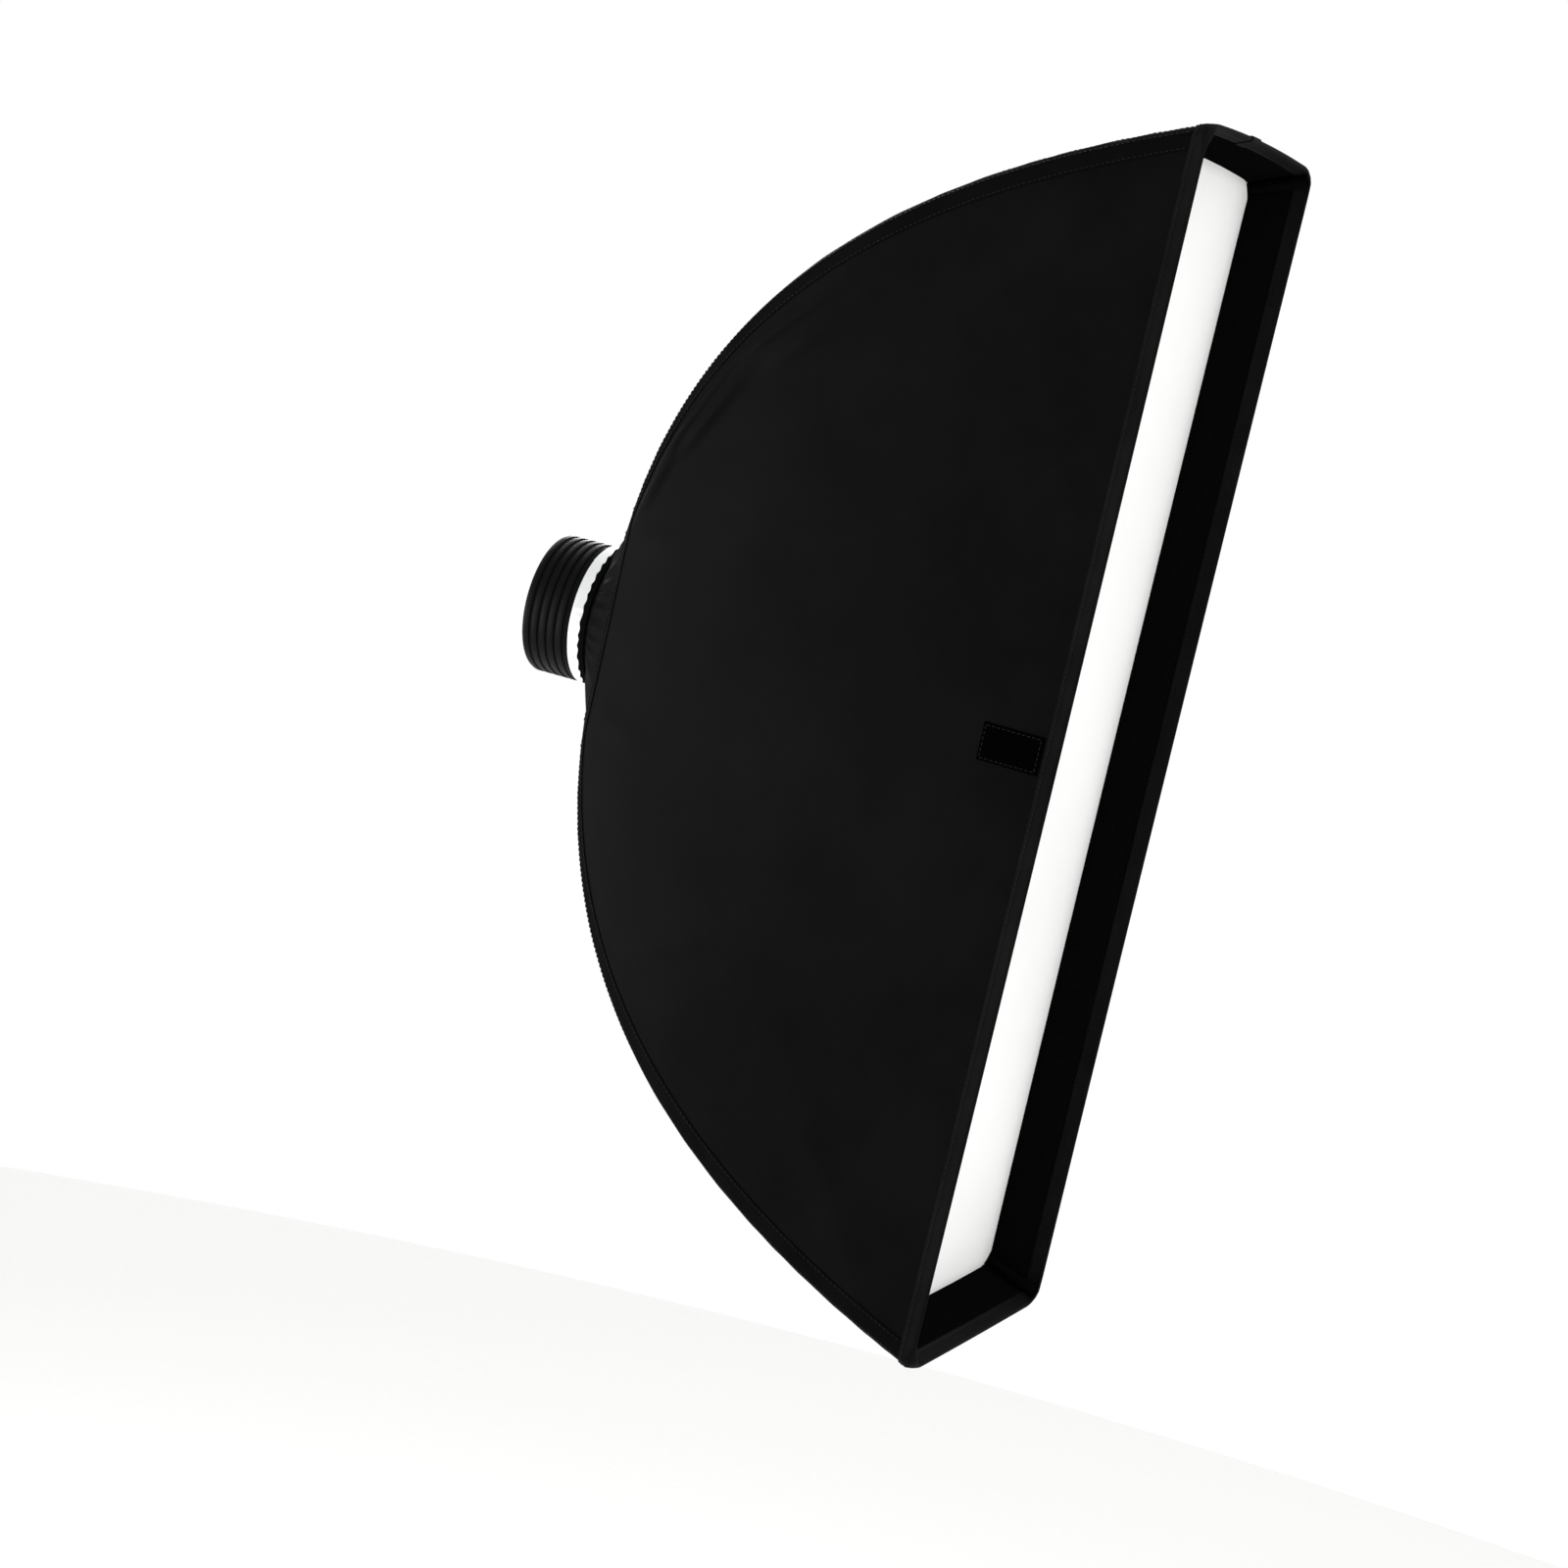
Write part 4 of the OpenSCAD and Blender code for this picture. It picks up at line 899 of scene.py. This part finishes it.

# %% [markdown]
# ## Tape over the seams
#
# Each rod's sleeve is sewn to the inside of the shell by two rows of stitches, and a tape on the
# outside of the side panel takes the strain. It shows as a narrow band along the seam, with a row of
# stitches near each edge, drawn blacker than the cloth as painted shade where the cloth turns over the
# rod. A similar band hems the rear edge, where the skirt starts, blackened the same way.

# %% Seam tapes and rear hem
SEAM_TAPE_FROM, SEAM_TAPE_WIDE, SEAM_TAPE_MM = 1.2 * MM, 16 * MM, 0.5
TAPE_GAP = 0.15 * MM
TAPE_TOP = SEAM_TAPE_MM * MM + TAPE_GAP
REAR_HEM_FROM, REAR_HEM_TO, REAR_HEM_WIDE = 0.001, 0.045, 18 * MM
SEAM_TAPE_END, HEM_INSET = t_at(12.6), 0.004
SEAM_NAMES = {("left", 1): "upper_left", ("left", -1): "lower_left",
              ("right", 1): "upper_right", ("right", -1): "lower_right"}


def on_shell(wall, t, v, above=0.0):
    """A point that far above the shell's wavy outer face."""
    return wall_point(wall, t, v, -rise(wall, t, v) - above)


def seam_tape(wall, way):
    """The tape along the upper (1) or lower (-1) seam of a side panel."""
    length = arc(wall, REAR_HEM_TO, SEAM_TAPE_END)

    def place(u, v):
        t = between(REAR_HEM_TO, SEAM_TAPE_END, u)
        w = v_beside(wall, t, way, SEAM_TAPE_FROM + SEAM_TAPE_WIDE * v)
        return on_shell(wall, t, w, TAPE_TOP)

    piece = cloth("seam_tape_" + SEAM_NAMES[wall, way], place, (STEPS_T, 6), OUTWARD[wall],
                  SEAM_TAPE_MM, (length, SEAM_TAPE_WIDE))
    return dress(piece, GROSGRAIN_PAINTED_SHADE, "webbing_black")


def rear_hem(wall):
    """The hem tape along the rear edge of one wall."""
    def place(u, v):
        t = between(REAR_HEM_FROM, REAR_HEM_TO, u)
        return on_shell(wall, t, across_wall(wall, t, between(HEM_INSET, 1 - HEM_INSET, v)),
                        TAPE_TOP)

    piece = cloth("rear_hem_" + wall, place, (6, 48), OUTWARD[wall], SEAM_TAPE_MM,
                  lambda u, v: (v * 2 * half_across(wall, 0), u * REAR_HEM_WIDE))
    return dress(piece, GROSGRAIN_PAINTED_SHADE, "webbing_black")


seam_tapes = {key: seam_tape(*key) for key in SEAM_NAMES}
rear_hems = {wall: rear_hem(wall) for wall in WALLS}
print("rear hem", round(arc("left", 0, REAR_HEM_TO) / MM, 1), "mm wide on the sides")

# %% [markdown]
# ## Front diffuser
#
# The front diffuser is one flat piece of white ripstop nylon, held by hook tape along its edge. It
# is stretched by hand, so it bellies by a few millimetres, wrinkles a little towards its clipped
# corners, and its edge turns back where the hook tape pulls it against the lip.

# %% Front diffuser
DIFFUSER_MM = 0.8
DIFFUSER_T = t_at(44)
DIFFUSER_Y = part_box("front_diffuser")[0].y + 0.2 * MM
EDGE_DEPTH = 2.3 * MM
NEAR_CORNER = 0.985
BELLY, SLACK, FAN, TURNED = 2.2 * MM, 0.9 * MM, 0.8 * MM, 1.6 * MM
FAN_FOLDS, FAN_REACH = 9, 0.05
# How far in from the edge the belly, the slack and the fan are full, and the turned edge is flat
BELLY_OVER, SLACK_OVER, FAN_OVER, TURNED_OVER = 0.10, 0.03, 0.012, 4 * MM
CLIP = 17 * MM
DIFFUSER_CELLS = (72, 180)


def diffuser_edge(wall, v):
    """How far the wall's inner face lies from the axis at the diffuser, v across the wall."""
    place = wall_point(wall, DIFFUSER_T, v, EDGE_DEPTH)
    return abs(place.x) if WALLS[wall][0] == "side" else abs(place.z)


def diffuser_place(u, v):
    """Across (u) and up (v) the stretched sheet, with its belly, wrinkles and turned edge."""
    s, q = 2 * u - 1, 2 * v - 1
    x = s * diffuser_edge("right" if s > 0 else "left", q * NEAR_CORNER)
    z = q * diffuser_edge("top" if q > 0 else "bottom", s * NEAR_CORNER)
    inset = min((1 - abs(s)) * HALF_WIDTH, (1 - abs(q)) * HALF_HEIGHT)
    belly = BELLY * smooth(inset / BELLY_OVER)
    slack = SLACK * noise.noise(Vector((x * 9, 1.7, z * 5))) * smooth(inset / SLACK_OVER)
    to_x, to_z = HALF_WIDTH - abs(x), HALF_HEIGHT - abs(z)
    fan = (FAN * sin(FAN_FOLDS * atan2(to_z, to_x)) * exp(-hypot(to_x, to_z) / FAN_REACH)
           * smooth(inset / FAN_OVER))
    turned = TURNED * (1 - smooth(inset / TURNED_OVER))
    return Vector((x, DIFFUSER_Y + belly + slack + fan + turned, z))


def clip_corners(piece):
    """Cuts each corner of the sheet off at 45 degrees, as the real one is clipped for the rods."""
    x, z = diffuser_edge("right", 0.97), diffuser_edge("top", 0.97)
    with editing(piece):
        for sx, sz in ((-1, -1), (-1, 1), (1, -1), (1, 1)):
            bpy.ops.mesh.select_all(action="SELECT")
            bpy.ops.mesh.bisect(plane_co=(sx * (x - CLIP), 0, sz * z), plane_no=(sx, 0, sz),
                                clear_outer=True)


DIFFUSER_FLAT = tuple(2 * diffuser_edge(wall, 0.9) + 4 * MM for wall in ("right", "top"))
front_diffuser = cloth("front_diffuser_cloth", diffuser_place, DIFFUSER_CELLS, FORWARDS,
                       DIFFUSER_MM, DIFFUSER_FLAT, cut=clip_corners)
dress(front_diffuser, DIFFUSER, "diffuser_white", "front_diffuser", body="diffuser")

HOOK_TOP_MM, HOOK_MM, HOOK_BACK_MM, HOOK_FRONT_MM = 2.4, 0.8, 64.5, 46.5
hook_border = dress(band("hook_tape_border", HOOK_BACK_MM, HOOK_FRONT_MM, HOOK_TOP_MM, HOOK_MM, 4),
                    WHITE_TAPE, "tape_white", "hook_border", body="diffuser")
print("front diffuser", [round(x, 3) for x in DIFFUSER_FLAT], "m")

# %% [markdown]
# ## Inner baffle
#
# Halfway back hangs a second, smaller diffuser that evens out the hot spot of the flash. It has a
# webbing hem, and elastic tabs hold it to the lining, so it is pulled into shallow scallops between
# the tabs.

# %% Baffle, hem and tabs
low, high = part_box("inner_baffle")
BAFFLE_X, BAFFLE_Z, BAFFLE_Y = high.x, high.z, (low.y + high.y) / 2
BAFFLE_T, TAB_SAG_T, TAB_CLEAR = t_at(216), 0.55, 2.6 * MM
SIDE_SCALLOP, END_SCALLOP, BAFFLE_WAVE = 9 * MM, 6 * MM, 1.6 * MM
HEM_WIDE, HEM_MM, HEM_RISE = 15 * MM, 0.8, 0.95 * MM
TAB_WIDE, TAB_LONG, TAB_LAP, TAB_MM = 20 * MM, 40 * MM, 13 * MM, 0.8
TAB_ROWS = {"side": (-0.6, 0.0, 0.6), "end": (0.0,)}


def scallop(s, rows):
    """Inward bow of an edge between its tabs, at s from -1 to 1 along it."""
    return min(abs(s - row) for row in rows) ** 1.5


def baffle_point(s, q, toward_front=0.0):
    """A point of the baffle, s across and q up it from -1 to 1."""
    x = s * (BAFFLE_X - SIDE_SCALLOP * scallop(q, TAB_ROWS["side"]) * abs(s) ** 3)
    z = q * (BAFFLE_Z - END_SCALLOP * scallop(s, TAB_ROWS["end"]) * abs(q) ** 3)
    wave = (BAFFLE_WAVE * noise.noise(Vector((x * 12, 5.0, z * 7)))
            * (1 - max(abs(s), abs(q)) ** 4))
    return Vector((x, BAFFLE_Y - toward_front + wave, z))


BAFFLE_FLAT = (2 * BAFFLE_X, 2 * BAFFLE_Z)
baffle = cloth("inner_baffle_cloth", lambda u, v: baffle_point(2 * u - 1, 2 * v - 1), (48, 120),
               FORWARDS, DIFFUSER_MM, BAFFLE_FLAT, offset=0.0)
dress(baffle, DIFFUSER, "diffuser_white", "inner_baffle")


def hem_place(u, v):
    """Once round the baffle's edge (u) and in from it by the hem's width (v)."""
    side, share = divmod(u * 4 % 4, 1)
    a = 2 * share - 1
    s, q = [(a, 1), (1, -a), (-a, -1), (-1, a)][int(side)]
    return baffle_point(s * (1 - v * HEM_WIDE / BAFFLE_X), q * (1 - v * HEM_WIDE / BAFFLE_Z),
                        HEM_RISE)


hem = cloth("baffle_hem_webbing", hem_place, (160, 4), FORWARDS, HEM_MM,
            (2 * sum(BAFFLE_FLAT), HEM_WIDE), closed=True, offset=0.0)
dress(hem, WHITE_TAPE, "tape_white", "baffle_hem")


def tab(wall, row):
    """One elastic tab from the baffle's edge to the lining."""
    kind, sign = WALLS[wall]
    start = (BAFFLE_X if kind == "side" else BAFFLE_Z) - TAB_LAP
    stop = profile(kind, BAFFLE_T)[0] - TAB_CLEAR - sag(wall, TAB_SAG_T, row)

    def place(u, v):
        out = sign * between(start, stop, u)
        along = row * BAFFLE_Z + (v - 0.5) * TAB_WIDE
        y = BAFFLE_Y + 1.0 * MM + 2.0 * MM * sin(pi * smooth(u * 1.3 - 0.3))
        return Vector((out, y, along) if kind == "side" else (along, y, out))

    return cloth("tab", place, (10, 4), -FORWARDS, TAB_MM, (TAB_LONG, TAB_WIDE), offset=0.0)


tabs = [tab(wall, row) for wall, (kind, _) in WALLS.items() for row in TAB_ROWS[kind]]
baffle_tabs = dress(joined("baffle_tab_elastics", tabs), WEBBING, "webbing_black", "baffle_tabs")
print("baffle", round(2 * BAFFLE_X, 3), "x", round(2 * BAFFLE_Z, 3), "m,", len(tabs), "tabs")

# %% [markdown]
# ## Sleeves and pockets
#
# The rods run in webbing sleeves sewn into the corners, and end in padded pockets. A sleeve is a
# tube of cloth: a grid rolled up round the rod's line and merged along its edge. Its cross-section
# is a drop whose point reaches into the seam, because that is where it is sewn.

# %% Sleeves and pockets
ROD_DEPTH = 6.6 * MM
ROD_END = 0.98
TUBE_SIDES, TUBE_STATIONS, TUBE_STEP = 20, 12, 0.002
POINT_SHARPNESS, RUMPLE, RUMPLE_SIZE = 8, 0.25 * MM, 0.012
# Each tube: where it starts and stops, its radius, its point's height, its cells and thickness
TUBES = {"sleeve": (0.098, 0.937, 4.0 * MM, 1.8 * MM, 60, 0.6),
         "pocket": (0.935, 0.992, 4.75 * MM, 0.1 * MM, 10, 0.5)}


@cache
def rod_point(t):
    """Centre of the upper right rod."""
    (x, y, a), (z, _, b) = profile("side", t), profile("end", t)
    share = ROD_DEPTH / (1 + a.y * b.y)
    return Vector((x - share * a.x, y - share * (a.y + b.y), z - share * b.x))


def rod_frame(t):
    """The rod's direction, and two directions square to it: into the seam, and along the ring."""
    ahead = (rod_point(min(t + TUBE_STEP, ROD_END + 0.02)) - rod_point(t - TUBE_STEP)).normalized()
    corner = meeting(min(max(t, 0.0), 1.0))[0] - rod_point(t)
    into = (corner - corner.dot(ahead) * ahead).normalized()
    return ahead, into, ahead.cross(into)


def tube(name, start, stop, radius, point, steps, thick_mm):
    """A cloth tube round the rod between two values of t, for the upper right corner."""
    line = [rod_point(between(start, stop, k / TUBE_STATIONS)) for k in range(TUBE_STATIONS + 1)]
    length = length_of(line)

    def place(u, v):
        t = between(start, stop, min(u, 1.0))
        _, into, beside = rod_frame(t)
        x, y = cos(2 * pi * v), sin(2 * pi * v)
        r = radius + point * max(x, 0.0) ** POINT_SHARPNESS
        r += RUMPLE * noise.noise(rod_point(t) / RUMPLE_SIZE + Vector((x, y, 0)))
        return rod_point(t) + r * (x * into + y * beside)

    def outward(place):
        return place - min(line, key=lambda p: (p - place).length)

    return cloth(name, place, (steps, TUBE_SIDES), outward, thick_mm,
                 (length, 2 * pi * radius), closed=True)


def mirrored_to(piece, sx, sz):
    """Moves a mesh of the upper right corner to another corner."""
    piece.data.transform(Matrix.Diagonal((sx, 1, sz, 1)))
    if sx * sz < 0:
        piece.data.flip_normals()


CORNERS = {"upper_left": (-1, 1), "upper_right": (1, 1), "lower_left": (-1, -1),
           "lower_right": (1, -1)}
for corner, (sx, sz) in CORNERS.items():
    for kind, sizes in TUBES.items():
        piece = tube(kind + "_tube_" + corner, *sizes)
        mirrored_to(piece, sx, sz)
        dress(piece, WEBBING, "webbing_black", kind + "_" + corner)
print("sleeves and pockets in", list(CORNERS))

# %% [markdown]
# ## Rear skirt and strap
#
# Behind the rods' sockets the shell ends in a skirt that is gathered round the neck of the ring, and
# an elastic strap cinches it. Cloth that has to go from a large rectangle to a small circle has
# width to spare, so it folds into gathers, deepest just before the strap and fanning out a little
# behind it.

# %% Skirt and strap
HEM_FRONT_Y, HEM_BACK_Y = -57.3 * MM, -51.3 * MM
HEM_RADIUS = 56.9 * MM
ROOT_LAP, ROOT_SUNK = 0.3 * MM, 0.15 * MM
GATHERS, GATHER_LIFT, SKIRT_BELLY = 36, 2.2 * MM, 1.2 * MM
STRAP_AT = 0.74  # share of the skirt's width in front of the strap
SKIRT_CELLS = 26
SKIRT_FLAT, SKIRT_MM = (0.560, 0.034), 0.8


def gather(angle):
    """Uneven gathers round the neck, from 0 in a valley to 1 on a fold."""
    drift = 1.6 * noise.noise(Vector((cos(angle) * 2, sin(angle) * 2, 0)))
    return 0.5 + 0.5 * sin(GATHERS * angle + 3 * drift)


def skirt_place(u, v):
    """Round the neck (u) and from the shell's rear edge to the skirt's hem (v)."""
    i = round(u * STATIONS) % STATIONS
    root = loop_frame(0.0)[0][i] + ROOT_LAP * loop_frame(0.0)[1][i]
    angle = atan2(root.z, root.x)
    way = Vector((cos(angle), 0, sin(angle)))
    w = min(v / STRAP_AT, 1.0)
    behind = max(v - STRAP_AT, 0.0) / (1 - STRAP_AT)
    place = Vector((root.x, 0, root.z)) * (1 - w) + way * HEM_RADIUS * w
    lift = GATHER_LIFT * smooth(w / 0.7) * (1 - 0.75 * smooth((w - 0.75) / 0.25))
    flare = behind ** 2 * (0.6 + 1.4 * gather(angle)) * MM
    place += way * (lift * gather(angle) + flare + SKIRT_BELLY * sin(pi * w))
    place.y = ((root.y - ROOT_SUNK) * (1 - w) + HEM_FRONT_Y * w
               + (HEM_BACK_Y - HEM_FRONT_Y) * behind)
    return place


skirt = cloth("gathered_skirt", skirt_place, (STATIONS, SKIRT_CELLS), from_axis, SKIRT_MM,
              SKIRT_FLAT, closed=True)
dress(skirt, SHELL, "shell_cloth", "rear_skirt")

STRAP_FRONT, STRAP_BACK = [corner.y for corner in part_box("closure_strap")]
STRAP_RADIUS, STRAP_MM, STRAP_SPLIT = 58.5 * MM, 1.1, radians(3.0)


def strap_place(u, v):
    """Round the neck from one side of the strap's gap to the other (u), and across it (v)."""
    angle = between(STRAP_SPLIT, 2 * pi - STRAP_SPLIT, u)
    radius = STRAP_RADIUS + 0.25 * MM * gather(angle) + 0.15 * MM * sin(pi * v)
    return Vector((radius * cos(angle), between(STRAP_FRONT, STRAP_BACK, v), radius * sin(angle)))


strap = cloth("cinch_strap", strap_place, (300, 4), from_axis, STRAP_MM,
              (2 * pi * STRAP_RADIUS, STRAP_BACK - STRAP_FRONT))
dress(strap, WEBBING, "webbing_black", "closure_strap")
print("skirt hem radius", round(HEM_RADIUS / MM, 1), "mm,", GATHERS, "gathers")

# %% [markdown]
# ## Side patches
#
# In the middle of each side panel, just behind the front edge, sits a black patch of loop tape,
# where a grid or a mask is stuck on. It is blacker than the shell because its pile takes in the light.

# %% Side patches
PATCH_BACK_MM, PATCH_FRONT_MM, PATCH_HALF, PATCH_MM = 62, 14, 14 * MM, 0.6
PATCH_ABOVE, PATCH_CROWN = 0.75 * MM, 0.35 * MM


def patch(wall):
    """The patch on one side panel, a little crowned, with its edges sewn down."""
    start, stop = t_at(PATCH_BACK_MM), t_at(PATCH_FRONT_MM)

    def place(u, v):
        t = between(start, stop, u)
        crown = PATCH_CROWN * smooth(min(u, 1 - u) / 0.08) * smooth(min(v, 1 - v) / 0.12)
        return on_shell(wall, t, PATCH_HALF * (2 * v - 1) / half_across(wall, t),
                        PATCH_ABOVE + crown)

    piece = cloth("side_patch_" + wall, place, (24, 16), OUTWARD[wall], PATCH_MM,
                  ((PATCH_BACK_MM - PATCH_FRONT_MM) * MM, 2 * PATCH_HALF))
    return dress(piece, LOOP_PILE, "loop_tape")


patches = {wall: patch(wall) for wall in ("left", "right")}
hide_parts("side_patches")
print("patches", sorted(patches))

# %% [markdown]
# ## Stitches
#
# Sewing is what holds all this together, and rows of small stitches are what the eye looks for on
# cloth goods. One stitch is a flattened ball of a few faces, 3 mm long. It is copied every 4 mm
# along each row, turned to the row's direction and laid on the cloth.

# %% Stitch tool
STITCH_MM, STITCH_PITCH_MM, STITCH_SUNK_MM = (3.0, 0.75, 0.55), 4.0, 0.08
ROW_STEPS, LOOK_AHEAD = 200, 0.002

bpy.ops.object.select_all(action="DESELECT")
bpy.ops.mesh.primitive_uv_sphere_add(segments=6, ring_count=4, radius=0.5,
                                     rotation=(0, pi / 2, 0))
bpy.ops.object.transform_apply(rotation=True)
bpy.ops.object.mode_set(mode="EDIT")
bpy.ops.transform.resize(value=tuple(x * MM for x in STITCH_MM))
bpy.ops.object.mode_set(mode="OBJECT")
ball = bpy.context.object
STITCH_POINTS = np.array([p.co for p in ball.data.vertices])
# Each face starts at its lowest point and the faces are sorted, so that every run is the same.
rings = [list(face.vertices) for face in ball.data.polygons]
STITCH_FACES = sorted(r[r.index(min(r)):] + r[:r.index(min(r))] for r in rings)
bpy.data.objects.remove(ball)


def sew(name, rows, thread=None, slot="webbing_black"):
    """Stitches along rows. A row is a function from 0 to 1 that gives a point and the way up."""
    points, faces = [], []
    for row in rows:
        line = [row(i / ROW_STEPS)[0] for i in range(ROW_STEPS + 1)]
        steps = [0.0]
        for a, b in zip(line, line[1:]):
            steps.append(steps[-1] + (b - a).length)
        count = max(int(steps[-1] / (STITCH_PITCH_MM * MM)), 1)
        for k in range(count):
            share = float(np.interp((k + 0.5) / count * steps[-1], steps,
                                    np.linspace(0, 1, ROW_STEPS + 1)))
            here, up = row(share)
            ahead = (row(min(share + LOOK_AHEAD, 1))[0]
                     - row(max(share - LOOK_AHEAD, 0))[0]).normalized()
            up = (up - up.dot(ahead) * ahead).normalized()
            turn = np.array((ahead, up.cross(ahead), up)).T
            first = len(points)
            centre = np.array(here + up * (STITCH_MM[2] / 2 - STITCH_SUNK_MM) * MM)
            points += list(STITCH_POINTS @ turn.T + centre)
            faces += [[first + i for i in face] for face in STITCH_FACES]
    mesh = bpy.data.meshes.new(name)
    mesh.from_pydata([tuple(p) for p in points], [], faces)
    mesh.shade_smooth()
    piece = bpy.data.objects.new(name, mesh)
    scene.collection.objects.link(piece)
    return dress(piece, thread or BLACK_THREAD, slot)


def wall_row(wall, line, above):
    """A row on a wall: line(share) gives its t and v, above is its height over the shell."""
    def row(share):
        t, v = line(share)
        here = on_shell(wall, t, v, above)
        return here, here - wall_point(wall, t, v, 2 * MM)
    return row


print("one stitch has", len(STITCH_FACES), "faces")

# %% Rows along the seams and the rear hem
SEAM_FROM, SEAM_TO = REAR_HEM_TO + 0.003, t_at(13.5)
HEM_ROWS = (0.15, 0.85)


def seam_row(wall, way, distance, above):
    """A row beside the upper (1) or lower (-1) seam of a wall, that far from it."""
    def line(share):
        t = between(SEAM_FROM, SEAM_TO, share)
        return t, v_beside(wall, t, way, distance)
    return wall_row(wall, line, above)


def hem_row(wall, part):
    """A row across the rear hem of a wall, at that part of the hem's width."""
    t = REAR_HEM_TO * part
    return wall_row(wall, lambda share: (t, across_wall(wall, t, 0.01 + 0.98 * share)), TAPE_TOP)


for wall, (kind, _) in WALLS.items():
    insets, above = (((2.8 * MM, 15.6 * MM), TAPE_TOP) if kind == "side" else
                     ((8 * MM, 12 * MM), 0.0))
    rows = [seam_row(wall, way, inset, above) for way in (-1, 1) for inset in insets]
    rows += [hem_row(wall, part) for part in HEM_ROWS]
    sew("stitches_" + wall, rows)

# %% Rows on the binding, the patches and the baffle
BINDING_ROW_MM = 9.5
BINDING_OUT, BINDING_IN = FOLD_R - 0.5 + BINDING_MM / 2, FOLD_R + 0.5 + BINDING_MM / 2
PATCH_TOP = 1.15 * MM


def around_front(depth, sign):
    """A row once round the front on one leg of the binding: sign 1 faces out and -1 faces in."""
    line, out = loop_frame(t_at(BINDING_ROW_MM))[0], loop_frame(1.0)[1]

    def row(share):
        whole, part = divmod(share * STATIONS, 1)
        i, k = int(whole) % STATIONS, (int(whole) + 1) % STATIONS
        way = out[i].lerp(out[k], part)
        return line[i].lerp(line[k], part) - depth * MM * way, sign * way
    return row


def patch_rows(wall):
    """Four rows just inside the edges of a patch."""
    t0, t1, z = t_at(PATCH_BACK_MM - 2), t_at(PATCH_FRONT_MM + 2), PATCH_HALF - 2 * MM

    def edge(a, b):
        def line(share):
            t = between(a[0], b[0], share)
            return t, between(a[1], b[1], share) / half_across(wall, t)
        return wall_row(wall, line, PATCH_TOP)
    ends = [(t0, -z), (t0, z), (t1, z), (t1, -z)]
    return [edge(a, b) for a, b in zip(ends, ends[1:] + ends[:1])]


def baffle_row(part):
    """A row round the baffle's webbing hem, on its front face."""
    return lambda share: (hem_place(share % 1.0, part) - Vector((0, 0.4 * MM, 0)),
                          Vector((0, -1, 0)))


binding_stitches = sew("stitches_binding", [around_front(-BINDING_OUT, 1),
                                            around_front(BINDING_IN, -1)])
patch_stitches = {wall: sew("stitches_patch_" + wall, patch_rows(wall)) for wall in patches}
baffle_stitches = sew("stitches_baffle", [baffle_row(part) for part in HEM_ROWS], WHITE_THREAD,
                      "tape_white")
print("stitches round the front", len(binding_stitches.data.polygons) // len(STITCH_FACES))

# %% [markdown]
# ## What each sheet was cut from
#
# Each sheet of cloth is laid out on the size of its flat pattern. A panel's pattern is as long as the
# wall's line and as wide as its front edge, and narrows towards the rear. Here the sizes of the
# panels' and the linings' patterns are worked out, and the pieces that are sewn to each panel are
# listed with it.

# %% Flat patterns
objects = bpy.data.objects
extras = {
    "left": [seam_tapes["left", 1], seam_tapes["left", -1], patches["left"], binding,
             patch_stitches["left"], binding_stitches],
    "right": [seam_tapes["right", 1], seam_tapes["right", -1], patches["right"], loop_tape,
              patch_stitches["right"]],
    "top": [lap],
    "bottom": [],
}
for corner in CORNERS:
    side = corner.split("_")[1]
    extras[side] += [objects["sleeve_tube_" + corner], objects["pocket_tube_" + corner]]

for wall, (kind, _) in WALLS.items():
    2 * half_across(wall, PANEL_FRONT)
    arc(wall, 0, PANEL_FRONT)
    flat_area(wall, 0, PANEL_FRONT)
    width = 2 * (half_across(wall, LINING_END) - CORNER_CLEAR)
    arc(wall, LINING_START, LINING_END)
    flat_area(wall, LINING_START, LINING_END, CORNER_CLEAR)

# %% [markdown]
# ## The floor
#
# The floor is a wide disc with a softly rounded rim, so that no hard line shows where it ends.

# %% Floor
FLOOR_RADIUS, FLOOR_DROP = 6.0, 0.2
bpy.ops.object.select_all(action="DESELECT")
bpy.ops.mesh.primitive_cylinder_add(vertices=128, radius=FLOOR_RADIUS, depth=FLOOR_DROP,
                                    location=(0, 0, FLOOR_Z - FLOOR_DROP / 2))
bpy.ops.object.transform_apply(location=True)
floor = bpy.context.object
floor.name = floor.data.name = "floor"
apply_modifier(floor, "BEVEL", width=FLOOR_DROP / 2, segments=4, limit_method="ANGLE")
bpy.ops.object.shade_smooth_by_angle(angle=radians(40))
# Painted screed: a chalky off-white with a faint cloudiness.
floor.data.materials.append(grained("pale_painted_floor", "#f4f4f3", "#fafaf9", 8.0, 0.1, 0.9))
print("floor at z", FLOOR_Z)
